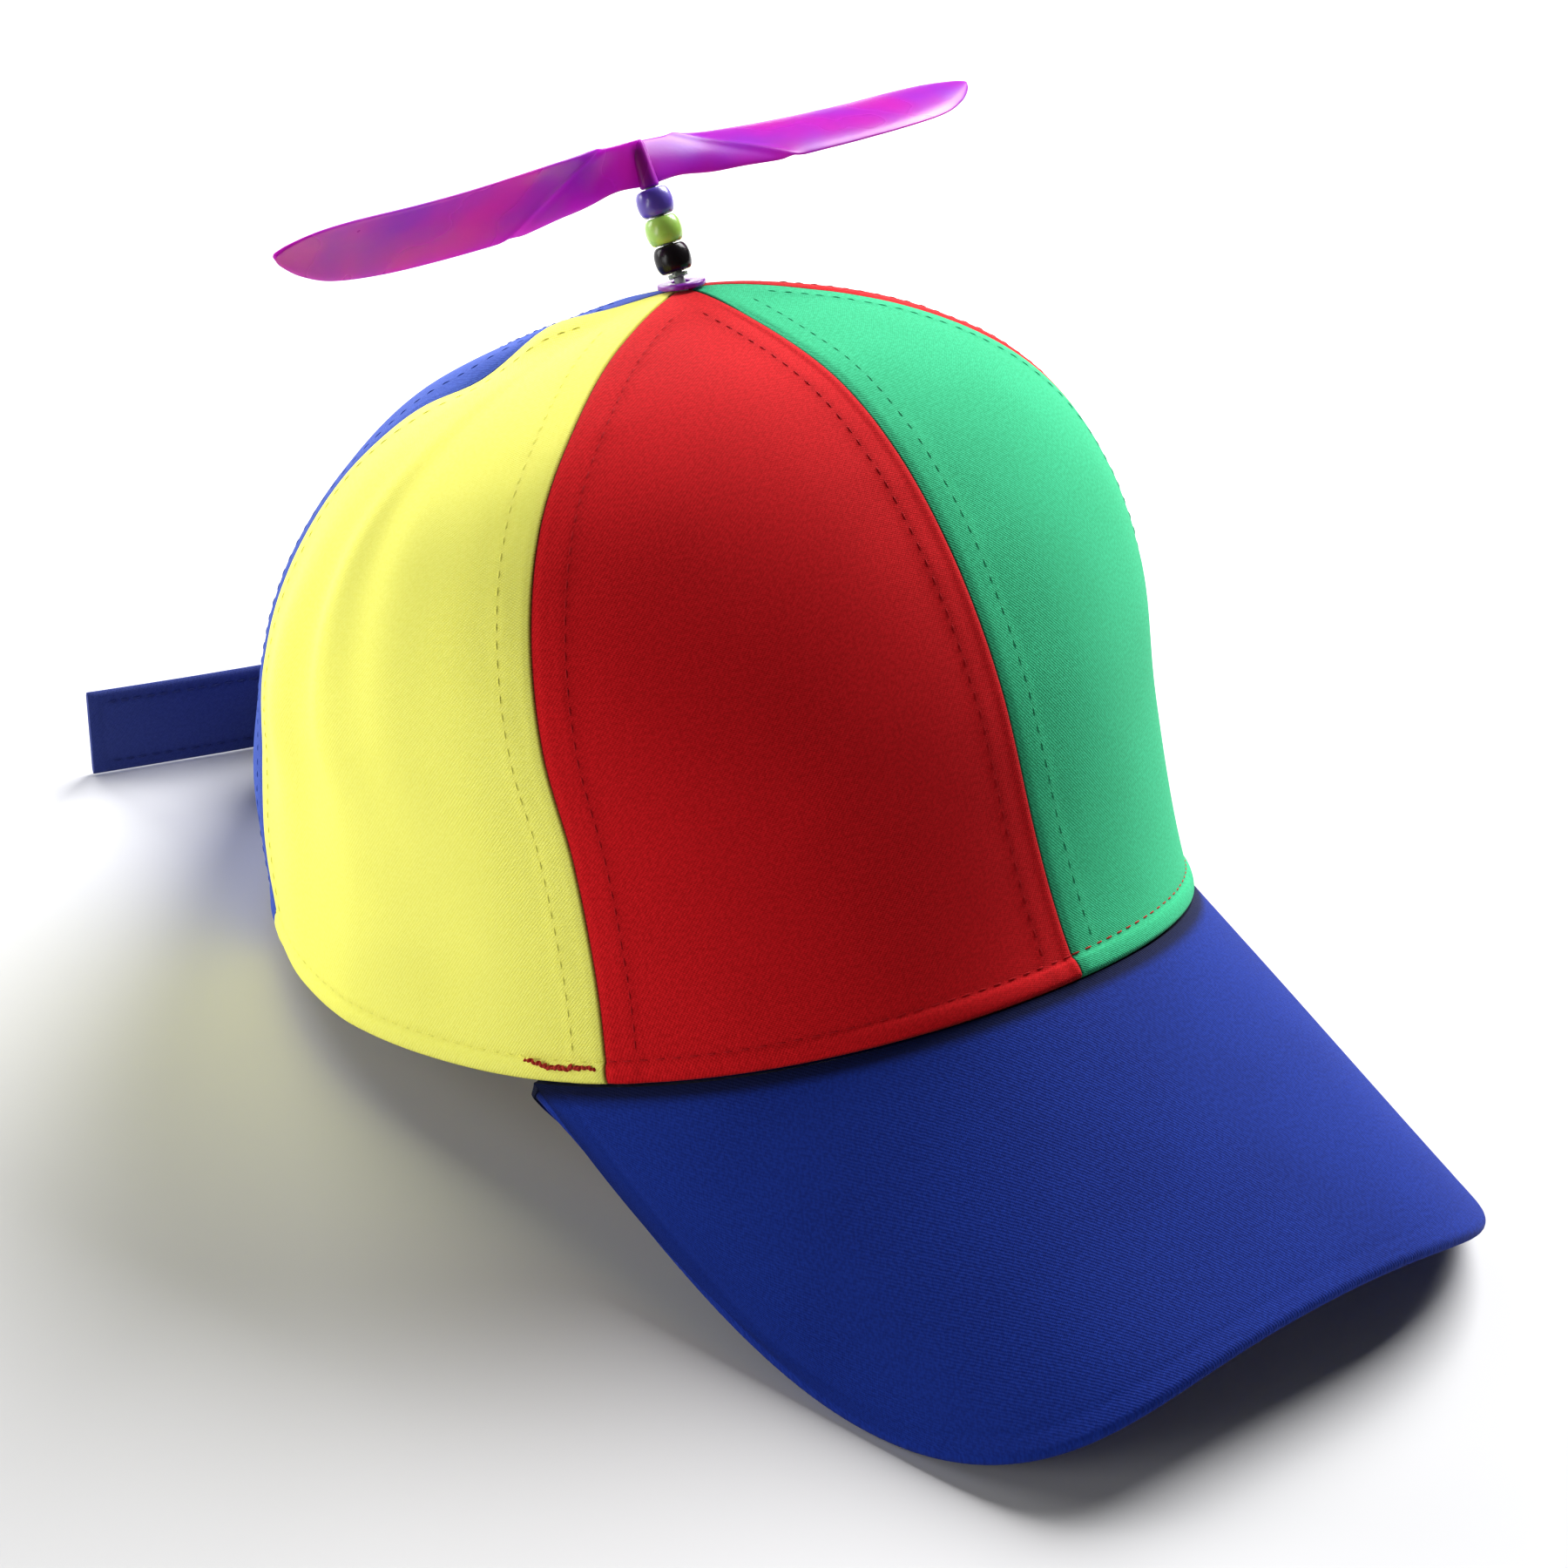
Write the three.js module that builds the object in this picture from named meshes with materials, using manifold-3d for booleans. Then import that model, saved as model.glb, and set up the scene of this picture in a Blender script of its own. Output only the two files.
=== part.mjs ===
// Propeller beanie: a six-panel cloth cap with a peak, an open back strap and a plastic propeller on a beaded post.
// Millimetres, +Z up. Cloth is shaped in the cap frame and then laid on the ground plane z = 0.
// Cap frame: origin at the middle of the rim, +Z to the crown's top, front towards -Y, wearer's right towards -X.
// Azimuth runs from the front centre (0) over the wearer's right (90 degrees) to the back centre (180 degrees).
import * as THREE from 'three';
import { mergeVertices } from 'three/addons/utils/BufferGeometryUtils.js';
import Module from 'manifold-3d';

const radians = THREE.MathUtils.degToRad;

// Fits
const CLOTH = 1.6;
const SEAM_GAP = 0.3;
const PEAK_GAP = 0.55;
const STRAP_GAP = 0.5;
// Under the crown's wall, which curves down round the post's head
const POST_HEAD_GAP = 1;
const RUNNING_GAP = 0.35;
// How far the cloth presses flat where the cap rests
const PRESS = 1.1;

// Crown, outer sizes
const CROWN_HEIGHT = 124;
const RIM_FRONT = 106;
const RIM_SIDE = 84;
const RIM_REAR = 95;
const FRONT_LIFT = 20;
const REAR_LIFT = 4.5;
// The rim's lift dies out at this share of the height
const LIFT_FADE = 0.35;
// Powers of the rim's plan outline, 2 is an ellipse
const FRONT_POWER = 2.08;
const REAR_POWER = 1.68;
// Slope of the crown's top towards the back
const TOP_LEAN = 0.21;
const SIDE_SEAM = radians(57.4);
const REAR_SEAM = radians(119);
const BACK = Math.PI;

// One row a level from rim to top: up is a share of CROWN_HEIGHT, front of RIM_FRONT, side of RIM_SIDE and
// rear of RIM_REAR.
const CROWN_ROWS = [
  { up: 0.0, front: 1.0, side: 1.0, rear: 1.0 },
  { up: 0.17, front: 0.94, side: 0.988, rear: 1.11 },
  { up: 0.34, front: 0.869, side: 0.999, rear: 1.05 },
  { up: 0.5, front: 0.794, side: 1.035, rear: 0.9 },
  { up: 0.65, front: 0.686, side: 0.987, rear: 0.8 },
  { up: 0.78, front: 0.552, side: 0.857, rear: 0.685 },
  { up: 0.88, front: 0.395, side: 0.642, rear: 0.56 },
  { up: 0.955, front: 0.191, side: 0.355, rear: 0.29 },
  { up: 1.0, front: 0.0, side: 0.0, rear: 0.0 },
];
const TOP_LEVEL = CROWN_ROWS.length - 1;

// Soft dents and folds: azimuth and half_width in degrees, level and half_height in rows, deep as a share of
// RIM_SIDE, below zero where the cloth stands proud.
const DENTS = [
  { name: 'upper_dent', azimuth: 113, half_width: 9, level: 5.3, half_height: 0.8, deep: 0.04 },
  { name: 'long_fold', azimuth: 97, half_width: 4, level: 3.4, half_height: 1.9, deep: 0.014 },
  { name: 'fold_ridge', azimuth: 106, half_width: 4, level: 3.0, half_height: 1.8, deep: -0.014 },
  { name: 'low_pucker', azimuth: 78, half_width: 7, level: 0.9, half_height: 0.8, deep: 0.012 },
];

// Back opening over the strap
const OPENING_HALF_WIDTH = 30;
const OPENING_HEIGHT = 42;

// Peak, upper face
const PEAK_THICKNESS = 3;
const PEAK_REACH = 59.4;
const PEAK_HALF_WIDTH = 79;
const PEAK_END = radians(66);
const PEAK_SLOPE_MIDDLE = radians(13.7);
const PEAK_SLOPE_END = radians(30);
// How much lower the middle hangs than its slope alone would bring it
const PEAK_DROOP = 26;
// Powers of the peak's outline: along the front edge, round the corners and down the sides
const PEAK_FRONT_POWER = 2.68;
const PEAK_CORNER_POWER = 4.9;
const PEAK_SIDE_POWER = 3.56;
// Width of the rolled strip along the peak's edge
const PEAK_HEM = 2.5;
// The peak's outline stops this share short of its pointed ends
const PEAK_END_SHARE = 0.055;

// Strap
const STRAP_WIDTH = 18;
const STRAP_THICKNESS = 1.6;
const STRAP_OVERLAP = 14;
const STRAP_LENGTH = 115;
const STRAP_SPLAY = radians(15.5);
// Share of the free length after which the strap stands upright
const STRAP_UPRIGHT = 0.45;

// Post, its lengths counted along the post from the crown's top
const POST_RADIUS = 1;
const POST_HEAD_RADIUS = 3.5;
const POST_HEAD_HEIGHT = 1;
const POST_LEAN = radians(26);
const CROWN_HOLE_RADIUS = 2.6;

// What the post carries
const WASHER_RADIUS = 4.6;
const WASHER_HEIGHT = 1;
const NECK_RADIUS = 1.9;
const NECK_HEIGHT = 0.8;
const BEAD_RADIUS = 3.45;
const BEAD_END_RADIUS = 2.3;
const BEAD_HEIGHT = 5.1;

// Propeller
const HUB_RADIUS = 2;
const HUB_HEIGHT = 8.8;
const HUB_ROOF = 1.4;
// Height of the blades' middle line over the hub's foot
const BLADE_LINE = 4.2;
const BLADE_LENGTH = 84;
const BLADE_CHORD = 19;
const BLADE_THICKNESS = 1;
const BLADE_CAMBER = 1.2;

// One row a section from hub to tip: out is a share of BLADE_LENGTH, upper and lower are the chord above and
// below the middle line as shares of BLADE_CHORD, pitch is in degrees from the propeller's own plane.
const BLADE_ROWS = [
  { out: 0.0, upper: 0.26, lower: 0.2, pitch: 78 },
  { out: 0.1, upper: 0.26, lower: 0.2, pitch: 70 },
  { out: 0.2, upper: 0.33, lower: 0.39, pitch: 42 },
  { out: 0.33, upper: 0.35, lower: 0.64, pitch: 31 },
  { out: 0.5, upper: 0.3, lower: 0.72, pitch: 28 },
  { out: 0.65, upper: 0.28, lower: 0.71, pitch: 27 },
  { out: 0.8, upper: 0.29, lower: 0.48, pitch: 29 },
  { out: 0.9, upper: 0.28, lower: 0.24, pitch: 30 },
  { out: 0.97, upper: 0.27, lower: 0.02, pitch: 30 },
  { out: 1.0, upper: 0.265, lower: -0.2, pitch: 30 },
];

// Mesh steps
const PANEL_COLUMNS = 12;
const PANEL_ROWS = 18;
const OPENING_COLUMNS = 8;
const PEAK_COLUMNS = 40;
const STRAP_STEPS = 14;
const STRAP_ROWS = 3;
const SEWN_STEPS = 3;
const ROUND_SIDES = 16;
const BEAD_ARC_STEPS = 6;
const BLADE_STEPS = 18;
const BLADE_COLUMNS = 4;

const wasm = await Module();
wasm.setup();

// Smooth curve through values, one for each whole number, with given neighbours past both ends.
function smooth(values, before, after, at) {
  const last = values.length - 1;
  const k = THREE.MathUtils.clamp(Math.floor(at), 0, last - 1);
  const t = at - k;
  const a = k > 0 ? values[k - 1] : before;
  const b = values[k];
  const c = values[k + 1];
  const d = k + 2 <= last ? values[k + 2] : after;
  return b + 0.5 * t * (c - a + t * (2 * a - 5 * b + 4 * c - d + t * (3 * (b - c) + d - a)));
}

// Value of one column of CROWN_ROWS at a level. Past the top the rows come down on the far side.
function crownValue(column, level) {
  const values = CROWN_ROWS.map((row) => row[column]);
  const mirrored = values[TOP_LEVEL - 1] * (column === 'up' ? 1 : -1);
  return smooth(values, 2 * values[0] - values[1], mirrored, level);
}

// Value of one column of BLADE_ROWS at a row number.
function bladeValue(column, at) {
  const values = BLADE_ROWS.map((row) => row[column]);
  const last = values.length - 1;
  return smooth(values, 2 * values[0] - values[1], 2 * values[last] - values[last - 1], at);
}

// The place between low and high where inside stops being true.
function lastInside(inside, low, high) {
  let [near, far] = [low, high];
  for (let i = 0; i < 40; i += 1) {
    const middle = (near + far) / 2;
    if (inside(middle)) near = middle;
    else far = middle;
  }
  return (near + far) / 2;
}

// Sum of the dents at a place of the crown, in millimetres towards the axis.
function dentDepth(azimuth, level) {
  return DENTS.reduce((sum, dent) => {
    const across = (azimuth - radians(dent.azimuth)) / radians(dent.half_width);
    const along = (level - dent.level) / dent.half_height;
    return sum + dent.deep * RIM_SIDE * Math.exp(-across * across - along * along);
  }, 0);
}

// Point of the crown's outer face.
function crownPoint(azimuth, level) {
  const front = Math.cos(azimuth);
  const right = Math.sin(azimuth);
  const isFront = front > 0;
  const power = 2 / (isFront ? FRONT_POWER : REAR_POWER);
  const depth = isFront ? RIM_FRONT * crownValue('front', level) : RIM_REAR * crownValue('rear', level);
  const x = -RIM_SIDE * crownValue('side', level) * Math.sign(right) * Math.abs(right) ** power;
  const y = -depth * Math.sign(front) * Math.abs(front) ** power;
  const up = crownValue('up', level);
  const fade = Math.max(0, 1 - up / LIFT_FADE) ** 2;
  const lift = fade * (isFront ? FRONT_LIFT : REAR_LIFT) * front * front;
  const point = new THREE.Vector3(x, y, CROWN_HEIGHT * up + lift - TOP_LEAN * y * up);
  const reach = Math.hypot(x, y);
  const dented = 1 - dentDepth(azimuth, level) / Math.max(reach, RIM_SIDE / 10);
  point.x *= dented;
  point.y *= dented;
  return point;
}

// How the crown's outer face moves with azimuth or with level, by central difference.
function crownSlope(azimuth, level, turn, climb) {
  const span = 2 * Math.hypot(turn, climb);
  const ahead = crownPoint(azimuth + turn, level + climb);
  return ahead.sub(crownPoint(azimuth - turn, level - climb)).divideScalar(span);
}

// Point of the crown's inner face.
function crownInside(azimuth, level) {
  const step = 0.004;
  const across = crownSlope(azimuth, level, step, 0);
  const along = crownSlope(azimuth, level, 0, step);
  const outward = along.cross(across).normalize();
  return crownPoint(azimuth, level).addScaledVector(outward, -CLOTH);
}

// Level at which the crown has narrowed to the post's hole.
function holeLevel(azimuth) {
  const wide = (level) => {
    const point = crownPoint(azimuth, level);
    return Math.hypot(point.x, point.y) > CROWN_HOLE_RADIUS;
  };
  return lastInside(wide, TOP_LEVEL - 1, TOP_LEVEL);
}

// Azimuth at the back of the wearer's right where the rim is a given distance from the middle plane.
function rimAzimuth(distance) {
  return lastInside((azimuth) => Math.abs(crownPoint(azimuth, 0).x) > distance, REAR_SEAM, BACK);
}

// Level at which the crown stands a given height over its rim.
function levelAt(azimuth, height) {
  const foot = crownPoint(azimuth, 0).z;
  return lastInside((level) => crownPoint(azimuth, level).z - foot < height, 0, TOP_LEVEL / 2);
}

// Columns of a panel from one seam to the next: azimuth and the level of the lower edge.
function plainColumns(from, to, count) {
  return Array.from({ length: count + 1 }, (_, i) => ({
    azimuth: THREE.MathUtils.lerp(from, to, i / count),
    foot: 0,
  }));
}

// Columns of a rear panel, whose lower edge climbs the arch of the back opening.
function archedColumns() {
  const plain = plainColumns(REAR_SEAM, rimAzimuth(OPENING_HALF_WIDTH), PANEL_COLUMNS - OPENING_COLUMNS);
  const arched = Array.from({ length: OPENING_COLUMNS }, (_, i) => {
    const angle = ((i + 1) / OPENING_COLUMNS) * (Math.PI / 2);
    const azimuth = i + 1 < OPENING_COLUMNS ? rimAzimuth(OPENING_HALF_WIDTH * Math.cos(angle)) : BACK;
    return { azimuth, foot: levelAt(azimuth, OPENING_HEIGHT * Math.sin(angle)) };
  });
  return [...plain, ...arched];
}

// Turn that goes half a seam's gap from a seam, in the way given by a sign.
function seamTurn(azimuth, level, way) {
  const seam = crownPoint(azimuth, level);
  const near = (turn) => crownPoint(azimuth + way * turn, level).distanceTo(seam) < SEAM_GAP / 2;
  return way * lastInside(near, 0, 0.2);
}

// The azimuth of a column at a level, squeezed by half a seam's gap at both ends of its panel.
function seamedAzimuth(columns, index, level) {
  const from = columns[0].azimuth;
  const to = columns[columns.length - 1].azimuth;
  const share = (columns[index].azimuth - from) / (to - from);
  const way = Math.sign(to - from);
  return columns[index].azimuth + (1 - share) * seamTurn(from, level, way) + share * seamTurn(to, level, -way);
}

// Panel of the wearer's right, as two facing grids of points in the cap frame.
function panelGrids(columns) {
  const grid = (face) => columns.map(({ azimuth, foot }, index) => {
    const top = holeLevel(azimuth);
    return Array.from({ length: PANEL_ROWS + 1 }, (_, j) => {
      const level = THREE.MathUtils.lerp(foot, top, j / PANEL_ROWS);
      return face(seamedAzimuth(columns, index, level), level);
    });
  });
  return [grid(crownPoint), grid(crownInside)];
}

// Points of the peak's upper face from the rim (0) to the front edge (1). side runs from -1 to 1.
function peakPoint(side, out) {
  const azimuth = PEAK_END * side;
  const root = crownPoint(azimuth, 0);
  const end = crownPoint(PEAK_END, 0);
  const full = 1 - Math.abs(side) ** PEAK_CORNER_POWER;
  const edgeX = THREE.MathUtils.lerp(root.x, -PEAK_HALF_WIDTH * side, full ** (1 / PEAK_SIDE_POWER));
  const edgeY = THREE.MathUtils.lerp(end.y, -(RIM_FRONT + PEAK_REACH), full ** (1 / PEAK_FRONT_POWER));
  const x = THREE.MathUtils.lerp(root.x, edgeX, out);
  const y = THREE.MathUtils.lerp(root.y, edgeY, out);
  const run = Math.hypot(x - root.x, y - root.y);
  const slope = THREE.MathUtils.lerp(PEAK_SLOPE_MIDDLE, PEAK_SLOPE_END, side * side);
  const droop = PEAK_DROOP * out * (1 - side * side) ** 2;
  return new THREE.Vector3(x, y, root.z - PEAK_GAP - run * Math.tan(slope) - droop);
}

// Row of the peak that is tucked under the crown's wall.
function peakTuck(side) {
  const tuck = crownInside(PEAK_END * side, 0);
  tuck.z -= PEAK_GAP;
  return tuck;
}

// A grid moved along its own normals.
function offsetGrid(grid, distance) {
  const lastColumn = grid.length - 1;
  const lastRow = grid[0].length - 1;
  return grid.map((column, i) => column.map((point, j) => {
    const across = grid[Math.min(i + 1, lastColumn)][j].clone().sub(grid[Math.max(i - 1, 0)][j]);
    const along = column[Math.min(j + 1, lastRow)].clone().sub(column[Math.max(j - 1, 0)]);
    return point.clone().addScaledVector(along.cross(across).normalize(), distance);
  }));
}

// Peak, as two facing grids of points in the cap frame.
function peakGrids() {
  const outs = [0, 0.14, 0.28, 0.42, 0.56, 0.7, 0.84];
  const top = Array.from({ length: PEAK_COLUMNS + 1 }, (_, i) => {
    const spread = (1 - PEAK_END_SHARE) * ((2 * i) / PEAK_COLUMNS - 1);
    // Doubled sine: the columns crowd towards the peak's ends, where its outline turns
    const side = Math.sin((Math.PI / 2) * Math.sin((Math.PI / 2) * spread));
    const length = peakPoint(side, 1).distanceTo(peakPoint(side, 0));
    const hem = 1 - Math.min(PEAK_HEM / length, 0.1);
    return [peakTuck(side), ...[...outs, hem, 1].map((out) => peakPoint(side, out))];
  });
  return [top, offsetGrid(top, PEAK_THICKNESS)];
}

// Level at which the crown's wall is a given distance from its rim.
function levelPastRim(azimuth, distance) {
  const foot = crownPoint(azimuth, 0);
  return lastInside((level) => crownPoint(azimuth, level).distanceTo(foot) < distance, 0, TOP_LEVEL / 2);
}

// Columns of the strap's sewn end, from foot to head along the outside of the rear panel.
function sewnColumns() {
  const corner = -rimAzimuth(OPENING_HALF_WIDTH);
  const overlap = STRAP_OVERLAP / crownSlope(corner, 0, 0.01, 0).length();
  const off = STRAP_GAP + STRAP_THICKNESS / 2;
  return Array.from({ length: SEWN_STEPS + 1 }, (_, i) => {
    const azimuth = corner + overlap * (1 - i / SEWN_STEPS);
    return Array.from({ length: STRAP_ROWS + 1 }, (__, j) => {
      const level = levelPastRim(azimuth, (STRAP_WIDTH * j) / STRAP_ROWS);
      const wall = crownPoint(azimuth, level);
      const outward = wall.clone().sub(crownInside(azimuth, level)).setLength(off);
      return wall.add(outward);
    });
  });
}

// How upright a column of the strap stands: 0 along the wall, 1 upright.
function strapUpright(column) {
  return THREE.MathUtils.smoothstep((column - SEWN_STEPS) / STRAP_STEPS, 0, STRAP_UPRIGHT);
}

// Middle surface of the strap in the cap frame: its sewn end, then its free end over and past the back opening.
function strapGrid() {
  const sewn = sewnColumns();
  const last = sewn[sewn.length - 1];
  const start = last[0];
  const rimWay = start.clone().sub(sewn[sewn.length - 2][0]).setZ(0).normalize();
  const freeWay = new THREE.Vector3(-Math.cos(STRAP_SPLAY), Math.sin(STRAP_SPLAY), 0);
  const free = STRAP_LENGTH - STRAP_OVERLAP;
  const end = start.clone().addScaledVector(freeWay, free);
  const beforeEnd = end.clone().addScaledVector(freeWay, -free / 2);
  const line = new THREE.CubicBezierCurve3(start, start.clone().addScaledVector(rimWay, free / 6), beforeEnd, end);
  const loose = line.getSpacedPoints(STRAP_STEPS).slice(1).map((foot, i) => last.map((point, j) => {
    const leaning = point.clone().sub(start);
    const straight = new THREE.Vector3(0, 0, (STRAP_WIDTH * j) / STRAP_ROWS);
    return leaning.lerp(straight, strapUpright(SEWN_STEPS + i + 1)).add(foot);
  }));
  return [...sewn, ...loose];
}

// A point of the cap frame once the cap is tipped back and let down.
function tippedPoint(point, pose) {
  const tipped = point.clone().applyAxisAngle(new THREE.Vector3(1, 0, 0), -pose.tilt);
  tipped.z -= pose.ground;
  return tipped;
}

// Grid of points pressed flat where it would go below the ground.
function pressedGrid(grid) {
  return grid.map((column) => column.map((point) => point.clone().setZ(Math.max(0, point.z))));
}

// Grid of a cloth face in the cap frame, laid on the ground.
function laidGrid(grid, pose) {
  return pressedGrid(grid.map((column) => column.map((point) => tippedPoint(point, pose))));
}

// Lowest height of some points once they are tipped back by an angle.
function lowest(points, tilt) {
  return Math.min(...points.map((point) => point.z * Math.cos(tilt) - point.y * Math.sin(tilt)));
}

// How the cap lies: on the peak's edge and on the rim at the back.
function restingPose(peakPoints, rimPoints) {
  const peakLower = (tilt) => lowest(peakPoints, tilt) < lowest(rimPoints, tilt);
  const tilt = lastInside(peakLower, 0, radians(40));
  return { tilt, ground: lowest(peakPoints, tilt) + PRESS };
}

// Closed body between two facing grids of points.
function shellGeometry(outer, inner) {
  const columns = outer.length;
  const rows = outer[0].length;
  const positions = [...outer.flat(), ...inner.flat()].flatMap((point) => point.toArray());
  const at = (layer, i, j) => layer * columns * rows + i * rows + j;
  const index = [];
  const quad = (a, b, c, d) => index.push(a, b, c, a, c, d);
  for (let i = 0; i + 1 < columns; i += 1) {
    for (let j = 0; j + 1 < rows; j += 1) {
      quad(at(0, i, j), at(0, i + 1, j), at(0, i + 1, j + 1), at(0, i, j + 1));
      quad(at(1, i, j), at(1, i, j + 1), at(1, i + 1, j + 1), at(1, i + 1, j));
    }
  }
  for (let i = 0; i + 1 < columns; i += 1) {
    quad(at(0, i, 0), at(1, i, 0), at(1, i + 1, 0), at(0, i + 1, 0));
    quad(at(0, i, rows - 1), at(0, i + 1, rows - 1), at(1, i + 1, rows - 1), at(1, i, rows - 1));
  }
  for (let j = 0; j + 1 < rows; j += 1) {
    quad(at(0, 0, j), at(0, 0, j + 1), at(1, 0, j + 1), at(1, 0, j));
    quad(at(0, columns - 1, j), at(1, columns - 1, j), at(1, columns - 1, j + 1), at(0, columns - 1, j + 1));
  }
  const geometry = new THREE.BufferGeometry();
  geometry.setAttribute('position', new THREE.Float32BufferAttribute(positions, 3));
  geometry.setIndex(index);
  return geometry;
}

// Triangles of a geometry, with its shared points merged and without empty triangles.
function mergedTriangles(geometry) {
  const bare = geometry.clone();
  bare.deleteAttribute('normal');
  bare.deleteAttribute('uv');
  const merged = mergeVertices(bare, 1e-4);
  const corners = merged.index.array;
  const kept = [];
  for (let k = 0; k < corners.length; k += 3) {
    const [a, b, c] = [corners[k], corners[k + 1], corners[k + 2]];
    if (a !== b && b !== c && c !== a) kept.push(a, b, c);
  }
  return { points: merged.attributes.position, kept };
}

// Geometry of merged triangles, turned so that its faces point out.
function closedGeometry(points, kept) {
  const corner = (k) => new THREE.Vector3().fromBufferAttribute(points, kept[k]);
  let volume = 0;
  for (let k = 0; k < kept.length; k += 3) volume += corner(k).dot(corner(k + 1).cross(corner(k + 2)));
  const geometry = new THREE.BufferGeometry();
  geometry.setAttribute('position', points);
  geometry.setIndex(volume > 0 ? kept : [...kept].reverse());
  geometry.computeVertexNormals();
  return geometry;
}

// Named mesh of a closed body.
function piece(name, shape, look) {
  const { points, kept } = mergedTriangles(shape);
  const mesh = new THREE.Mesh(closedGeometry(points, kept), new THREE.MeshStandardMaterial(look));
  mesh.name = name;
  return mesh;
}

// Manifold solid of a closed shape.
function solid(shape) {
  const { points, kept } = mergedTriangles(shape);
  const geometry = closedGeometry(points, kept);
  const vertProperties = new Float32Array(geometry.attributes.position.array);
  const triVerts = new Uint32Array(geometry.index.array);
  return new wasm.Manifold(new wasm.Mesh({ numProp: 3, vertProperties, triVerts }));
}

// Geometry of a manifold solid.
function solidGeometry(body) {
  const mesh = body.getMesh();
  const geometry = new THREE.BufferGeometry();
  geometry.setAttribute('position', new THREE.Float32BufferAttribute(mesh.vertProperties, 3));
  geometry.setIndex([...mesh.triVerts]);
  return geometry;
}

// Body turned round Z from a closed profile of radius and height pairs.
function turned(profile) {
  const points = profile.map(([radius, height]) => new THREE.Vector2(radius, height));
  return new THREE.LatheGeometry(points, ROUND_SIDES).rotateX(Math.PI / 2);
}

// Ring with a plain bore, standing on z = 0.
function ring(bore, radius, height) {
  return turned([[bore, 0], [radius, 0], [radius, height], [bore, height], [bore, 0]]);
}

// Barrel bead with a bore, standing on z = 0.
function bead(bore) {
  const bulge = Array.from({ length: BEAD_ARC_STEPS + 1 }, (_, i) => {
    const angle = (i / BEAD_ARC_STEPS - 0.5) * Math.PI;
    const radius = BEAD_END_RADIUS + (BEAD_RADIUS - BEAD_END_RADIUS) * Math.cos(angle);
    return [radius, (BEAD_HEIGHT / 2) * (1 + Math.sin(angle))];
  });
  return turned([[bore, 0], ...bulge, [bore, BEAD_HEIGHT], [bore, 0]]);
}

// Heights along the post, each piece a small gap over the one below it.
const POST_BORE = POST_RADIUS + RUNNING_GAP;
// The post leans more than the crown's top, so what stands square on it clears the washer by its own half width
const LEAN_DIFFERENCE = POST_LEAN - Math.atan(TOP_LEAN);
const NECK_FOOT = (WASHER_HEIGHT + 2 * SEAM_GAP) / Math.cos(LEAN_DIFFERENCE) + NECK_RADIUS * Math.tan(LEAN_DIFFERENCE);
const BLACK_FOOT = NECK_FOOT + NECK_HEIGHT + SEAM_GAP;
const LIME_FOOT = BLACK_FOOT + BEAD_HEIGHT + SEAM_GAP;
const VIOLET_FOOT = LIME_FOOT + BEAD_HEIGHT + SEAM_GAP;
const HUB_FOOT = VIOLET_FOOT + BEAD_HEIGHT + RUNNING_GAP;
const POST_TOP = HUB_FOOT + HUB_HEIGHT - HUB_ROOF - RUNNING_GAP;
const HEAD_TOP = -(CLOTH + POST_HEAD_GAP) / Math.cos(LEAN_DIFFERENCE) - POST_HEAD_RADIUS * Math.tan(LEAN_DIFFERENCE);

// Hidden pin with a flat head inside the crown.
function postGeometry() {
  return turned([
    [0, HEAD_TOP - POST_HEAD_HEIGHT],
    [POST_HEAD_RADIUS, HEAD_TOP - POST_HEAD_HEIGHT],
    [POST_HEAD_RADIUS, HEAD_TOP],
    [POST_RADIUS, HEAD_TOP],
    [POST_RADIUS, POST_TOP],
    [0, POST_TOP],
  ]);
}

// One blade along +X, its middle line on the X axis.
function bladeGeometry() {
  const lastRow = BLADE_ROWS.length - 1;
  const face = (side) => Array.from({ length: BLADE_COLUMNS + 1 }, (_, i) => {
    const share = i / BLADE_COLUMNS;
    return Array.from({ length: BLADE_STEPS + 1 }, (__, j) => {
      const at = (j / BLADE_STEPS) * lastRow;
      const upper = BLADE_CHORD * bladeValue('upper', at);
      const lower = -BLADE_CHORD * bladeValue('lower', at);
      const chord = THREE.MathUtils.lerp(lower, upper, share);
      const width = (upper - lower) / BLADE_CHORD;
      const proud = BLADE_CAMBER * width * (1 - (2 * share - 1) ** 2) + (side * BLADE_THICKNESS) / 2;
      const pitch = radians(bladeValue('pitch', at));
      return new THREE.Vector3(
        BLADE_LENGTH * bladeValue('out', at),
        chord * Math.cos(pitch) - proud * Math.sin(pitch),
        chord * Math.sin(pitch) + proud * Math.cos(pitch),
      );
    });
  });
  return shellGeometry(face(1), face(-1));
}

// Two blades and the hub that turns on the post, with a blind bore from below.
function propellerGeometry() {
  const blade = bladeGeometry().translate(0, 0, BLADE_LINE);
  const opposite = blade.clone().rotateZ(Math.PI);
  const hub = turned([[0, 0], [HUB_RADIUS, 0], [HUB_RADIUS, HUB_HEIGHT], [0, HUB_HEIGHT]]);
  const depth = HUB_HEIGHT - HUB_ROOF;
  const bore = turned([[0, -1], [POST_BORE, -1], [POST_BORE, depth], [0, depth]]);
  return solidGeometry(solid(blade).add(solid(opposite)).add(solid(hub)).subtract(solid(bore)));
}

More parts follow.
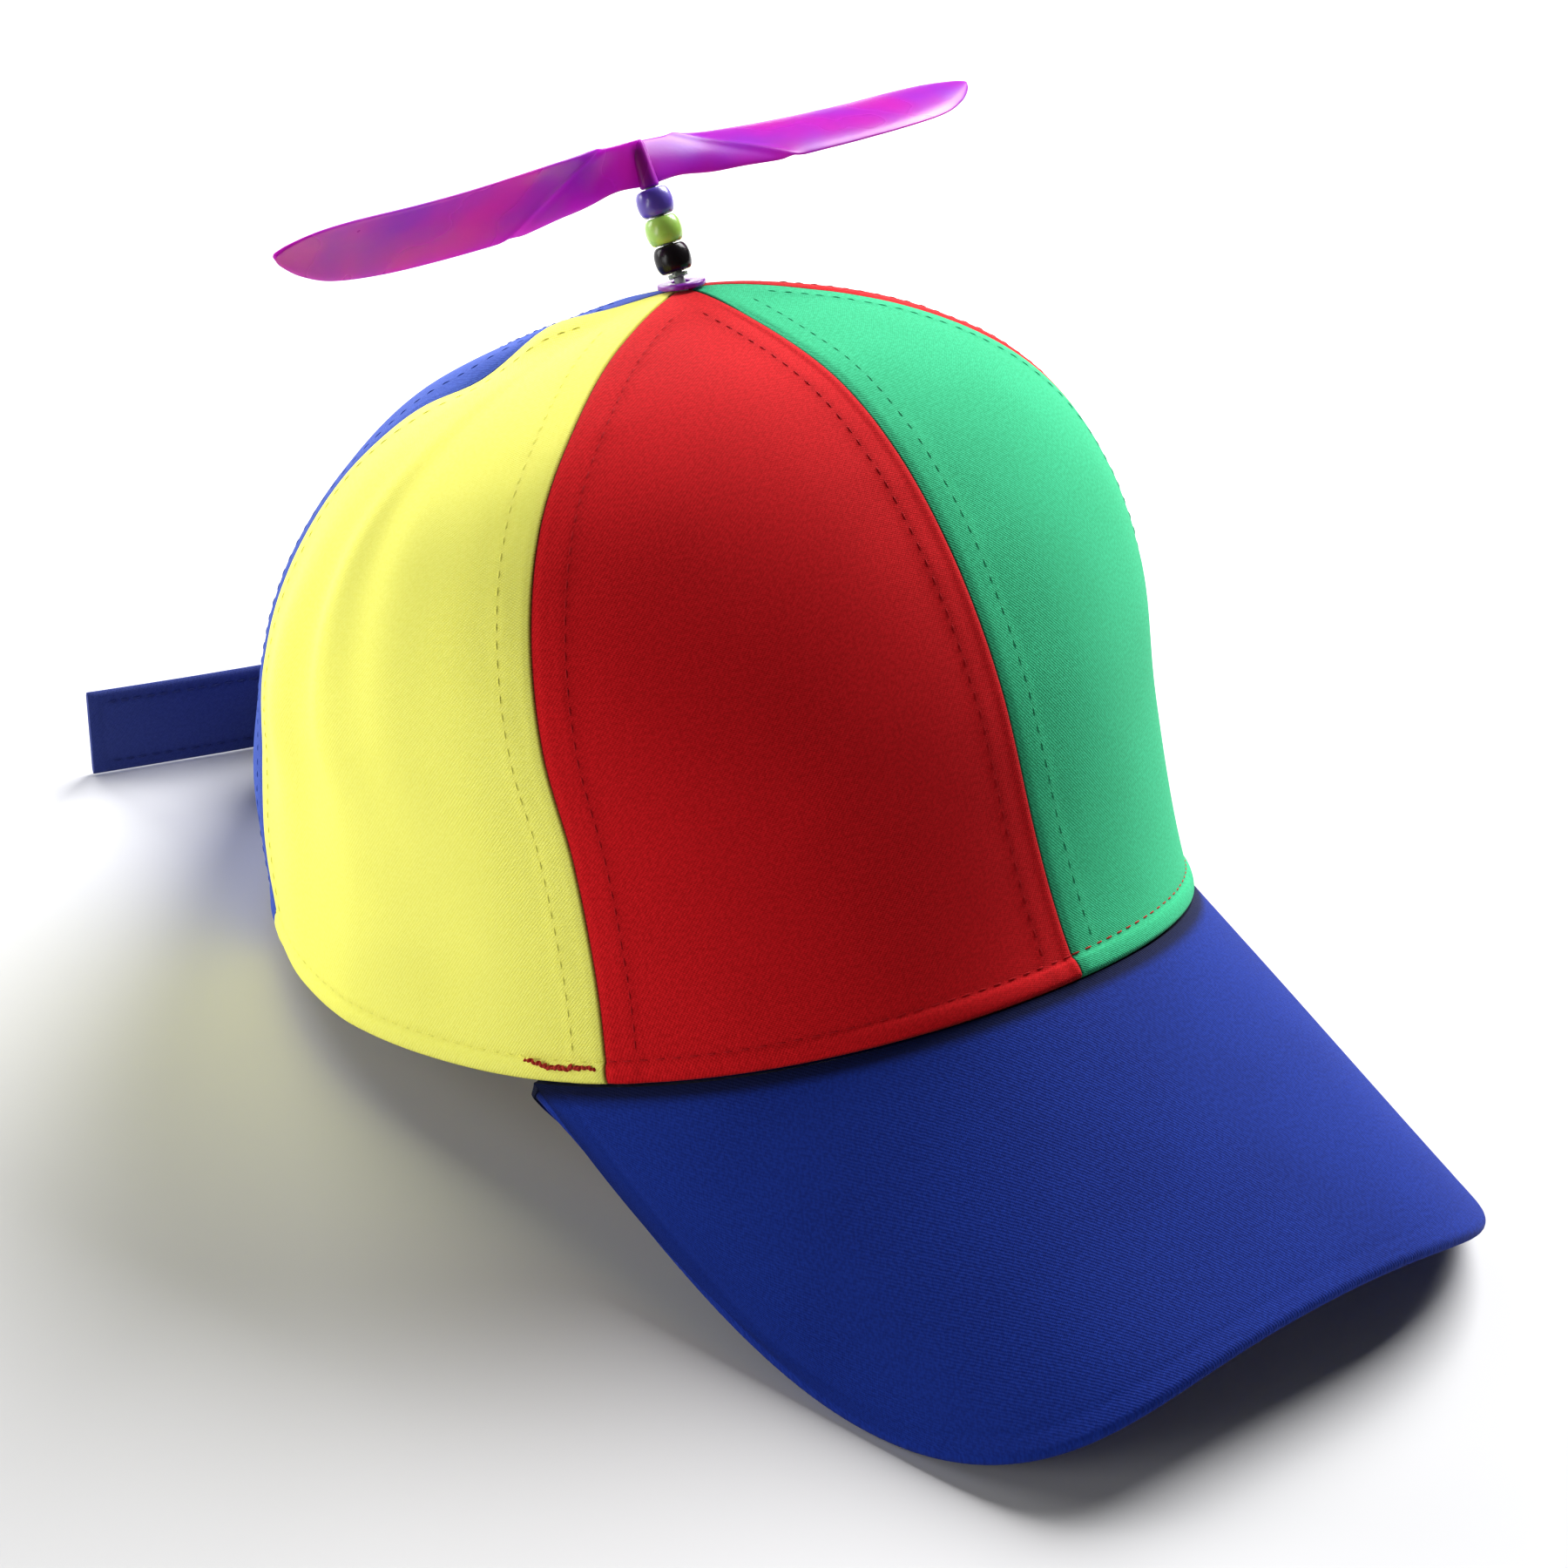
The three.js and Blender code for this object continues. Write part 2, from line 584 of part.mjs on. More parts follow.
// Cloth and plastic colours
const CLOTH_LOOK = { roughness: 0.9, metalness: 0 };
const RED = { ...CLOTH_LOOK, color: 0xc4161f };
const GREEN = { ...CLOTH_LOOK, color: 0x33b878 };
const YELLOW = { ...CLOTH_LOOK, color: 0xf4f06a };
const BLUE = { ...CLOTH_LOOK, color: 0x2f58c4 };
const PEAK_BLUE = { ...CLOTH_LOOK, color: 0x21379c };
const NAVY = { ...CLOTH_LOOK, color: 0x16245e };
const BEAD_LOOK = { roughness: 0.3, metalness: 0 };

// The crown's six panels. The wearer's left is the right side mirrored.
function crownPanels(pose) {
  const panels = [
    { place: 'front', columns: plainColumns(0, SIDE_SEAM, PANEL_COLUMNS), right: RED, left: GREEN },
    { place: 'side', columns: plainColumns(SIDE_SEAM, REAR_SEAM, PANEL_COLUMNS), right: YELLOW, left: RED },
    { place: 'rear', columns: archedColumns(), right: BLUE, left: YELLOW },
  ];
  return panels.flatMap(({ place, columns, right, left }) => {
    const mirrored = columns.map(({ azimuth, foot }) => ({ azimuth: -azimuth, foot }));
    const make = (line) => shellGeometry(...panelGrids(line).map((grid) => laidGrid(grid, pose)));
    return [
      piece(`panel_${place}_right`, make(columns), right),
      piece(`panel_${place}_left`, make(mirrored), left),
    ];
  });
}

// Strap, sewn to the wall and then upright on its lower edge, lifted where the tipped cap would push it lower.
function strapPiece(pose) {
  const middle = strapGrid().map((column, i) => {
    const tipped = column.map((point) => tippedPoint(point, pose));
    const lift = strapUpright(i) * Math.max(0, -tipped[0].z);
    return tipped.map((point) => point.setZ(point.z + lift));
  });
  const faces = [1, -1].map((side) => pressedGrid(offsetGrid(middle, (side * STRAP_THICKNESS) / 2)));
  return piece('strap', shellGeometry(...faces), NAVY);
}

// What stands on the crown's top: washer, post, neck, beads and propeller.
function spindle(pose) {
  const top = tippedPoint(crownPoint(0, TOP_LEVEL), pose);
  const washer = piece('washer', ring(POST_BORE + RUNNING_GAP, WASHER_RADIUS, WASHER_HEIGHT), {
    ...BEAD_LOOK,
    color: 0x8033c0,
  });
  const seat = new THREE.Group();
  seat.position.copy(top);
  seat.rotation.x = -(pose.tilt + Math.atan(TOP_LEAN));
  washer.position.z = SEAM_GAP;
  seat.add(washer);
  const carried = [
    [piece('post', postGeometry(), { roughness: 0.5, metalness: 0, color: 0x9aa39a }), 0],
    [piece('neck', ring(POST_BORE, NECK_RADIUS, NECK_HEIGHT), { ...BEAD_LOOK, color: 0x7f8f7c }), NECK_FOOT],
    [piece('bead_black', bead(POST_BORE), { ...BEAD_LOOK, color: 0x211d20 }), BLACK_FOOT],
    [piece('bead_lime', bead(POST_BORE), { ...BEAD_LOOK, color: 0xa4dd62 }), LIME_FOOT],
    [piece('bead_violet', bead(POST_BORE), { ...BEAD_LOOK, color: 0x5a48c0 }), VIOLET_FOOT],
    [piece('propeller', propellerGeometry(), { roughness: 0.15, metalness: 0, color: 0x9a22aa }), HUB_FOOT],
  ];
  const stem = new THREE.Group();
  stem.position.copy(top);
  stem.rotation.x = -(pose.tilt + POST_LEAN);
  carried.forEach(([mesh, height]) => {
    mesh.position.z = height;
    stem.add(mesh);
  });
  return [seat, stem];
}

// The whole cap, with its origin under the middle of its box.
function beanie() {
  const peak = peakGrids();
  const rim = archedColumns().filter(({ foot }) => foot === 0);
  const rimPoints = rim.flatMap(({ azimuth }) => [crownPoint(azimuth, 0), crownInside(azimuth, 0)]);
  const pose = restingPose(peak.flat(2), rimPoints);
  const group = new THREE.Group();
  group.add(...crownPanels(pose));
  group.add(piece('peak', shellGeometry(...peak.map((grid) => laidGrid(grid, pose))), PEAK_BLUE));
  group.add(strapPiece(pose));
  group.add(...spindle(pose));
  const middle = new THREE.Box3().setFromObject(group, true).getCenter(new THREE.Vector3());
  group.position.set(-middle.x, -middle.y, 0);
  return group;
}

const group = beanie();
export default group;
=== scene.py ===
"""Looks for a propeller beanie: cloth panels, peak, strap, beads and propeller over its frame.

Sizes in the classes are millimetres in the cap's own frame: origin at the middle of the rim, +Z to
the crown's top, front towards -Y, wearer's right towards -X. Resting turns them into metres in the
row frame.
"""

import logging
import math
from dataclasses import dataclass, field
from enum import Enum
from typing import Callable, Sequence

import bpy
import numpy as np
from mathutils import Matrix, Vector, noise

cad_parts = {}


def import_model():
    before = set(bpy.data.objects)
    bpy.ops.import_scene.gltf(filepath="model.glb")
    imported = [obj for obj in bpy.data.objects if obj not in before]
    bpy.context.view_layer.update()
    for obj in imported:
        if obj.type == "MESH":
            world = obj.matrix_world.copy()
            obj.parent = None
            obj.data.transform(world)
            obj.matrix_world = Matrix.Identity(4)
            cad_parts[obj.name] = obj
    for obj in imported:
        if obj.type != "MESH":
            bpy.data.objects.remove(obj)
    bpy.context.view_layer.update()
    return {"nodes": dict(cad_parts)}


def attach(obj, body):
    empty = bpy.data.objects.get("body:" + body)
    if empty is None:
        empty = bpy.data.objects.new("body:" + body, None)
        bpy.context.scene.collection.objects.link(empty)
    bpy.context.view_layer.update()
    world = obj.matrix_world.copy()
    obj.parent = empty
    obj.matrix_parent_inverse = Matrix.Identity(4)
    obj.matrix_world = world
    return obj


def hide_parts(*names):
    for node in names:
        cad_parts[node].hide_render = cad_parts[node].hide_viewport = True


LOG = logging.getLogger("beanie")
MM = 0.001
TINY = 1e-9
HALVINGS = 40
CAP_BODY = "cap"
SPIN_BODY = "propeller"
Colour = tuple[float, float, float]
Values = tuple[float, ...]
Section = Sequence[tuple[float, float]]


def smooth_step(values: np.ndarray, low: float, high: float) -> np.ndarray:
    """Eased step from 0 at low to 1 at high."""
    share = np.clip((np.asarray(values, float) - low) / (high - low), 0.0, 1.0)
    return share * share * (3.0 - 2.0 * share)


def bump(values: np.ndarray, centre: float, width: float) -> np.ndarray:
    """Bell curve of height 1 round a centre."""
    return np.exp(-(((np.asarray(values, float) - centre) / width) ** 2))


def unit(vectors: np.ndarray) -> np.ndarray:
    """Vectors scaled to length 1."""
    return vectors / np.maximum(np.linalg.norm(vectors, axis=-1, keepdims=True), TINY)


def run_along(points: np.ndarray) -> np.ndarray:
    """Length run from the first point, along the first axis of a line or a grid of points."""
    steps = np.linalg.norm(np.diff(points, axis=0), axis=-1)
    return np.concatenate([np.zeros((1, *steps.shape[1:])), np.cumsum(steps, axis=0)])


def read_line(values: np.ndarray, at: np.ndarray, places: np.ndarray | float) -> np.ndarray:
    """Values of a line that belong to rising places, read at other places."""
    return np.stack([np.interp(places, at, column) for column in values.T], axis=-1)


def through_rows(values: Values, before: float, after: float, at: np.ndarray) -> np.ndarray:
    """Smooth curve through values that belong to whole numbers.

    Args:
        values: One value for each whole number from 0.
        before: The value that leads up to the first one.
        after: The value that follows the last one.
        at: Where the curve is read.

    Returns:
        The curve's values, in the shape of at.
    """
    padded = np.array([before, *values, after], float)
    at = np.asarray(at, float)
    k = np.clip(np.floor(at), 0, len(values) - 2).astype(int)
    t = at - k
    a, b, c, d = padded[k], padded[k + 1], padded[k + 2], padded[k + 3]
    return b + 0.5 * t * (c - a + t * (2 * a - 5 * b + 4 * c - d + t * (3 * (b - c) + d - a)))


def last_inside(inside: Callable[[float], bool], low: float, high: float) -> float:
    """Place between two values where a test stops being true.

    Args:
        inside: The test, true at low and false at high.
        low: Start of the stretch that is searched.
        high: End of the stretch.

    Returns:
        The place, by halving.
    """
    for _ in range(HALVINGS):
        middle = (low + high) / 2
        if inside(middle):
            low = middle
        else:
            high = middle
    return (low + high) / 2


def grid_normals(grid: np.ndarray) -> np.ndarray:
    """Unit normals of a grid of points, by differences of its neighbours."""
    return unit(np.cross(np.gradient(grid, axis=1), np.gradient(grid, axis=0)))


def soft_noise(points: np.ndarray, scale: float, seed: float) -> np.ndarray:
    """Noise from about -1 to 1 at points, with features of a scale and a seed for its stretch."""
    flat = points.reshape(-1, 3) / scale + seed
    return np.array([noise.noise(Vector(p)) for p in flat]).reshape(points.shape[:-1])


@dataclass(frozen=True)
class Resting:
    """How the cap lies on the ground: tipped back, let down and moved along its length."""

    tilt: float = math.radians(10.558184)
    ground: float = -10.75843
    forward: float = 25.62812

    def turn(self, vectors: np.ndarray) -> np.ndarray:
        """Turns directions from the cap frame to the row frame.

        Args:
            vectors: Directions or places, with x, y and z on the last axis.

        Returns:
            The turned ones, in the same shape.
        """
        vectors = np.asarray(vectors, float)
        cos, sin = math.cos(self.tilt), math.sin(self.tilt)
        x, y, z = vectors[..., 0], vectors[..., 1], vectors[..., 2]
        return np.stack([x, y * cos + z * sin, z * cos - y * sin], axis=-1)

    def place(self, points: np.ndarray) -> np.ndarray:
        """Points of the cap frame in the row frame, still in millimetres."""
        return self.turn(points) + np.array([0.0, self.forward, -self.ground])

    def lay(self, points: np.ndarray) -> np.ndarray:
        """Lays a cloth face on the ground, pressed flat where it would sink in.

        Args:
            points: Points of the cap frame in millimetres.

        Returns:
            The points in the row frame in metres.
        """
        placed = self.place(points)
        placed[..., 2] = np.maximum(placed[..., 2], 0.0)
        return placed * MM


REST = Resting()


@dataclass(frozen=True)
class Fold:
    """A soft dent, or a ridge where deep is below zero.

    Angles are in degrees, heights in rows and deep in millimetres.
    """

    azimuth: float
    half_width: float
    level: float
    half_height: float
    deep: float
    slant: float = 0.0


@dataclass(frozen=True)
class Crown:
    """Outer face of the crown as a function of azimuth and level.

    The azimuth runs from the front centre over the wearer's right, in radians. The level is a row
    number, from the rim, 0, to the top.
    """

    height: float = 124.0
    front: float = 106.0
    side: float = 84.0
    rear: float = 95.0
    front_lift: float = 20.0
    rear_lift: float = 4.5
    lift_fade: float = 0.35
    front_power: float = 2.08
    rear_power: float = 1.68
    top_lean: float = 0.21
    cloth: float = 1.6
    hole_radius: float = 2.6
    opening_half_width: float = 30.0
    opening_height: float = 42.0
    side_seam: float = math.radians(57.4)
    rear_seam: float = math.radians(119.0)
    probe: float = 0.004
    ups: Values = (0.0, 0.17, 0.34, 0.5, 0.65, 0.78, 0.88, 0.955, 1.0)
    fronts: Values = (1.0, 0.94, 0.869, 0.794, 0.686, 0.552, 0.395, 0.191, 0.0)
    sides: Values = (1.0, 0.988, 0.999, 1.035, 0.987, 0.857, 0.642, 0.355, 0.0)
    rears: Values = (1.0, 1.11, 1.05, 0.9, 0.8, 0.685, 0.56, 0.29, 0.0)
    folds: tuple[Fold, ...] = (
        Fold(113, 9, 5.3, 0.8, 3.36),
        Fold(97, 4, 3.4, 1.9, 1.18),
        Fold(106, 4, 3.0, 1.8, -1.18),
        Fold(78, 7, 0.9, 0.8, 1.0),
    )
    creases: tuple[Fold, ...] = (
        Fold(113, 9, 5.2, 0.75, -3.2),
        Fold(117, 8, 6.5, 0.33, 1.9),
        Fold(114, 13, 7.15, 0.3, -2.1),
        Fold(128, 14, 6.5, 0.7, -1.0),
        Fold(86, 3.2, 4.3, 1.7, 0.75, 1.5),
        Fold(93, 3.4, 4.2, 1.8, -0.65, 1.5),
        Fold(101, 3.0, 2.3, 1.5, 0.8, -1.0),
        Fold(108, 3.0, 2.6, 1.6, -0.5, -1.0),
        Fold(74, 5.0, 3.4, 1.5, 0.35),
        Fold(88, 12.0, 1.3, 0.28, 0.55),
        Fold(84, 11.0, 0.85, 0.2, -0.3),
        Fold(32, 8.0, 2.3, 1.2, 0.5),
        Fold(-28, 8.0, 2.1, 1.3, 0.5),
        Fold(-85, 6.0, 2.6, 1.5, 0.7),
        Fold(-100, 5.0, 4.0, 1.4, -0.6),
        Fold(140, 6.0, 3.6, 1.5, 0.7),
        Fold(-142, 6.0, 3.2, 1.5, 0.7),
        Fold(-128, 5.0, 2.2, 1.2, -0.5),
    )

    @property
    def top(self) -> int:
        """Level of the crown's top."""
        return len(self.ups) - 1

    def value(self, column: Values, level: np.ndarray) -> np.ndarray:
        """Value of one column of the rows at a level, coming down again past the top."""
        mirrored = column[-2] * (1 if column is self.ups else -1)
        return through_rows(column, 2 * column[0] - column[1], mirrored, level)

    def dents(
        self, folds: tuple[Fold, ...], azimuth: np.ndarray, level: np.ndarray
    ) -> np.ndarray:
        """Depth of some folds together.

        Args:
            folds: The folds.
            azimuth: Azimuth of each place.
            level: Level of each place.

        Returns:
            Millimetres into the crown at each place.
        """
        total = np.zeros(np.broadcast(azimuth, level).shape)
        for fold in folds:
            centre = np.radians(fold.azimuth + fold.slant * (level - fold.level))
            across = (azimuth - centre) / math.radians(fold.half_width)
            along = (level - fold.level) / fold.half_height
            total = total + fold.deep * np.exp(-across * across - along * along)
        return total

    def point(self, azimuth: np.ndarray, level: np.ndarray) -> np.ndarray:
        """Points of the outer face.

        Args:
            azimuth: Azimuth of each point.
            level: Level of each point.

        Returns:
            Points with x, y and z on the last axis.
        """
        azimuth = np.asarray(azimuth, float)
        azimuth, level = np.broadcast_arrays(azimuth, np.asarray(level, float))
        ahead, right = np.cos(azimuth), np.sin(azimuth)
        is_front = ahead > 0
        power = 2.0 / np.where(is_front, self.front_power, self.rear_power)
        fronts, rears = self.value(self.fronts, level), self.value(self.rears, level)
        depth = np.where(is_front, self.front * fronts, self.rear * rears)
        x = -self.side * self.value(self.sides, level) * np.sign(right) * np.abs(right) ** power
        y = -depth * np.sign(ahead) * np.abs(ahead) ** power
        up = self.value(self.ups, level)
        fade = np.maximum(0.0, 1.0 - up / self.lift_fade) ** 2
        lift = fade * np.where(is_front, self.front_lift, self.rear_lift) * ahead * ahead
        z = self.height * up + lift - self.top_lean * y * up
        reach = np.maximum(np.hypot(x, y), self.side / 10)
        dented = 1.0 - self.dents(self.folds, azimuth, level) / reach
        return np.stack([x * dented, y * dented, z], axis=-1)

    def normal(self, azimuth: np.ndarray, level: np.ndarray) -> np.ndarray:
        """Normals of the outer face.

        Args:
            azimuth: Azimuth of each point.
            level: Level of each point.

        Returns:
            Unit normals that point out.
        """
        step = self.probe
        across = self.point(azimuth + step, level) - self.point(azimuth - step, level)
        along = self.point(azimuth, level + step) - self.point(azimuth, level - step)
        return unit(np.cross(along, across))

    def rim_azimuth(self, distance: float) -> float:
        """Azimuth at the wearer's right rear where the rim is a distance from the middle plane."""
        return last_inside(
            lambda a: abs(self.point(a, 0.0)[0]) > distance, self.rear_seam, math.pi
        )

    def level_at(self, azimuth: float, height: float) -> float:
        """Level at which the crown stands a height over its rim."""
        foot = self.point(azimuth, 0.0)[2]
        return last_inside(lambda v: self.point(azimuth, v)[2] - foot < height, 0.0, self.top / 2)

    def level_past_rim(self, azimuth: float, distance: float) -> float:
        """Level at which the wall is a distance from its rim.

        Args:
            azimuth: Azimuth of the place.
            distance: Straight distance from the rim in millimetres.

        Returns:
            The level.
        """
        foot = self.point(azimuth, 0.0)

        def near(level: float) -> bool:
            """Whether the wall is nearer to its rim at a level."""
            return np.linalg.norm(self.point(azimuth, level) - foot) < distance

        return last_inside(near, 0.0, self.top / 2)

    def hole_level(self, azimuth: float) -> float:
        """Level at which the crown has narrowed to the post's hole.

        Args:
            azimuth: Azimuth of the place.

        Returns:
            The level, a little under the top.
        """

        def wide(level: float) -> bool:
            """Whether the crown is wider than the hole at a level."""
            return math.hypot(*self.point(azimuth, level)[:2]) > self.hole_radius

        return last_inside(wide, self.top - 1.0, float(self.top))


CROWN = Crown()


class Thread(Enum):
    """Sewing threads by the cloth that they run on."""

    # Red thread darker than its cloth: painted shade of the needle holes between the stitches.
    RED = (0.46, 0.006, 0.01)
    GREEN = (0.045, 0.52, 0.25)
    YELLOW = (0.9, 0.88, 0.16)
    BLUE = (0.04, 0.085, 0.4)
    NAVY = (0.02, 0.03, 0.14)
    RUST = (0.42, 0.03, 0.02)


class Wiring:
    """Adds nodes to one shader tree and links them."""

    def __init__(self, tree: bpy.types.NodeTree) -> None:
        """Keeps the tree of a material or a node group."""
        self.tree = tree

    def node(self, kind: str, **settings: object) -> bpy.types.Node:
        """Adds a node.

        Args:
            kind: The node's type name.
            **settings: Properties of the node and their values.

        Returns:
            The new node.
        """
        made = self.tree.nodes.new(kind)
        for name, value in settings.items():
            setattr(made, name, value)
        return made

    def feed(self, socket: bpy.types.NodeSocket, value: object) -> None:
        """Links an input or sets its value.

        Args:
            socket: The input.
            value: An output to link it to, or a plain value.
        """
        if isinstance(value, bpy.types.NodeSocket):
            self.tree.links.new(value, socket)
        else:
            socket.default_value = value

    def fill(self, node: bpy.types.Node, inputs: dict[str, object]) -> None:
        """Links or sets some of a node's inputs by their names."""
        for name, value in inputs.items():
            self.feed(node.inputs[name], value)

    def math(self, operation: str, *values: object) -> bpy.types.NodeSocket:
        """Adds a math node.

        Args:
            operation: The node's operation.
            *values: Outputs or plain values for its inputs, in order.

        Returns:
            Its output.
        """
        made = self.node("ShaderNodeMath", operation=operation)
        for socket, value in zip(made.inputs, values):
            self.feed(socket, value)
        return made.outputs[0]

    def total(self, *parts: tuple[object, float]) -> bpy.types.NodeSocket:
        """Adds up values, each times its weight.

        Args:
            *parts: Outputs and their weights.

        Returns:
            The sum's output.
        """
        products = [self.math("MULTIPLY", value, weight) for value, weight in parts]
        made = products[0]
        for product in products[1:]:
            made = self.math("ADD", made, product)
        return made

    def mix(self, share: object, first: object, second: object) -> bpy.types.NodeSocket:
        """Mixes two colours.

        Args:
            share: Share of the second one, from 0 to 1.
            first: The first colour.
            second: The second colour.

        Returns:
            The mixed colour's output.
        """
        made = self.node("ShaderNodeMix", data_type="RGBA")
        for index, value in ((0, share), (6, first), (7, second)):
            self.feed(made.inputs[index], value)
        return made.outputs[2]

    def noise(self, vector: object, scale: object, detail: float = 3.0) -> bpy.types.NodeSocket:
        """Adds a noise texture.

        Args:
            vector: The place that it is read at.
            scale: Number of its features in one unit of the place.
            detail: Number of finer layers in it.

        Returns:
            Its output, from 0 to 1.
        """
        made = self.node("ShaderNodeTexNoise")
        self.fill(made, {"Vector": vector, "Scale": scale, "Detail": detail})
        return made.outputs[0]

    def spread(self, value: object, low: float, high: float) -> bpy.types.NodeSocket:
        """Spreads a value smoothly over the range from 0 to 1.

        Args:
            value: The value.
            low: What becomes 0.
            high: What becomes 1.

        Returns:
            The spread value's output.
        """
        made = self.node("ShaderNodeMapRange", interpolation_type="SMOOTHSTEP")
        self.fill(made, {"Value": value, "From Min": low, "From Max": high})
        return made.outputs[0]

    def relief(self, height: object, strength: float, distance: float) -> bpy.types.NodeSocket:
        """Adds a bump node.

        Args:
            height: The height that it follows.
            strength: Its strength.
            distance: Depth of its relief in metres.

        Returns:
            The normal's output.
        """
        made = self.node("ShaderNodeBump")
        self.fill(made, {"Strength": strength, "Distance": distance, "Height": height})
        return made.outputs[0]


@dataclass(frozen=True)
class Socket:
    """One named socket of a node group."""

    name: str
    kind: str
    value: object = None


def new_group(
    name: str, inputs: Sequence[Socket], outputs: Sequence[Socket]
) -> tuple[Wiring, dict[str, bpy.types.NodeSocket], dict[str, bpy.types.NodeSocket]]:
    """Starts a node group with named sockets.

    Args:
        name: The group's name.
        inputs: Its inputs, with their starting values.
        outputs: Its outputs.

    Returns:
        Its wiring, what its inputs give and what its outputs take, by name.
    """
    group = bpy.data.node_groups.new(name, "ShaderNodeTree")
    for sockets, way in ((inputs, "INPUT"), (outputs, "OUTPUT")):
        for socket in sockets:
            made = group.interface.new_socket(
                name=socket.name, in_out=way, socket_type=socket.kind
            )
            if socket.value is not None:
                made.default_value = socket.value
    given = group.nodes.new("NodeGroupInput").outputs
    taken = group.nodes.new("NodeGroupOutput").inputs
    return (
        Wiring(group),
        {socket.name: given[socket.name] for socket in inputs},
        {socket.name: taken[socket.name] for socket in outputs},
    )


class Effects:
    """Node groups that several finishes share."""

    FLOAT = "NodeSocketFloat"
    COLOUR = "NodeSocketColor"

    def __init__(self) -> None:
        """Builds each group once."""
        self.twill = self._twill()
        self.dye = self._dye()
        self.painted_seam_shade = self._painted_seam_shade()
        self.moulding = self._moulding()

    def _twill(self) -> bpy.types.NodeTree:
        """Twill weave on the cloth map: fine diagonal ribs crossed by yarns, with slubs.

        Returns:
            The node group.
        """
        w, given, out = new_group(
            "TwillWeave",
            [Socket("Pitch", self.FLOAT, 0.0007), Socket("Unevenness", self.FLOAT, 0.5)],
            [Socket("Height", self.FLOAT), Socket("Yarn", self.FLOAT)],
        )
        cloth = w.node("ShaderNodeUVMap", uv_map="cloth").outputs[0]
        parts = w.node("ShaderNodeSeparateXYZ")
        w.feed(parts.inputs[0], cloth)
        uneven = w.math("SUBTRACT", w.noise(cloth, 900.0, 2.0), 0.5)
        wander = w.math("MULTIPLY", uneven, given["Unevenness"])
        across, along = (w.math("DIVIDE", parts.outputs[k], given["Pitch"]) for k in (0, 1))
        rib_at = w.total((across, 1.0), (along, 0.8), (wander, 1.0))
        yarn_at = w.total((along, 1.6), (across, -0.7), (wander, 1.0))
        rib, yarn = (
            w.math("SINE", w.math("MULTIPLY", at, math.tau)) for at in (rib_at, yarn_at)
        )
        w.feed(out["Height"], w.math("ADD", w.total((rib, 0.32), (yarn, 0.18)), 0.5))
        w.feed(out["Yarn"], w.noise(cloth, 1500.0, 2.0))
        return w.tree

    def _dye(self) -> bpy.types.NodeTree:
        """Dyed colour with faint clouds and the specks of single yarns, and painted shade in the
        weave's low parts.

        Returns:
            The node group.
        """
        w, given, out = new_group(
            "DyedCloth",
            [
                Socket("Colour", self.COLOUR, (0.5, 0.5, 0.5, 1.0)),
                Socket("Deep Colour", self.COLOUR, (0.4, 0.4, 0.4, 1.0)),
                Socket("Yarn", self.FLOAT, 0.5),
                Socket("Weave Height", self.FLOAT, 0.5),
                Socket("Cloud Size", self.FLOAT, 40.0),
            ],
            [Socket("Colour", self.COLOUR)],
        )
        place = w.node("ShaderNodeTexCoord").outputs["Object"]
        cloud = w.spread(w.noise(place, given["Cloud Size"]), 0.3, 0.75)
        speck = w.spread(given["Yarn"], 0.36, 0.64)
        # Painted shade: the weave's low parts are darker.
        sunk = w.math("SUBTRACT", 1.0, given["Weave Height"])
        share = w.total((cloud, 0.2), (speck, 0.5), (sunk, 0.3))
        w.feed(out["Colour"], w.mix(share, given["Colour"], given["Deep Colour"]))
        return w.tree

    def _painted_seam_shade(self) -> bpy.types.NodeTree:
        """Painted shade: colour darkened in the seams, on the stitch lines and along the hem's
        foot.

        Returns:
            The node group.
        """
        w, given, out = new_group(
            "PaintedSeamShade",
            [
                Socket("Colour", self.COLOUR, (0.5, 0.5, 0.5, 1.0)),
                Socket("Shade", self.COLOUR, (0.1, 0.1, 0.1, 1.0)),
                Socket("Amount", self.FLOAT, 0.6),
            ],
            [Socket("Colour", self.COLOUR)],
        )
        seam, stitch = (
            w.node("ShaderNodeAttribute", attribute_name=name).outputs["Fac"]
            for name in ("seam", "stitch")
        )
        # Painted shade mask: full in the seams, faint along the stitch lines.
        mask = w.math("MAXIMUM", seam, w.math("MULTIPLY", stitch, 0.16))
        mask = w.math("MULTIPLY", mask, given["Amount"])
        w.feed(out["Colour"], w.mix(mask, given["Colour"], given["Shade"]))
        return w.tree

    def _moulding(self) -> bpy.types.NodeTree:
        """Moulded plastic: faint flow clouds and a fine uneven skin.

        Returns:
            The node group.
        """
        w, given, out = new_group(
            "MouldedSkin",
            [Socket("Flow Size", self.FLOAT, 90.0), Socket("Grain Size", self.FLOAT, 900.0)],
            [Socket("Flow", self.FLOAT), Socket("Height", self.FLOAT)],
        )
        place = w.node("ShaderNodeTexCoord").outputs["Object"]
        flow = w.noise(place, given["Flow Size"], 2.0)
        w.feed(out["Flow"], w.spread(flow, 0.3, 0.7))
        w.feed(out["Height"], w.total((flow, 0.7), (w.noise(place, given["Grain Size"]), 1.0)))
        return w.tree


def start_material(name: str) -> tuple[bpy.types.Material, Wiring, bpy.types.Node]:
    """Starts a node material.

    Args:
        name: Its name.

    Returns:
        The material, its wiring and its Principled shader.
    """
    material = bpy.data.materials.new(name)
    material.use_nodes = True
    return material, Wiring(material.node_tree), material.node_tree.nodes["Principled BSDF"]


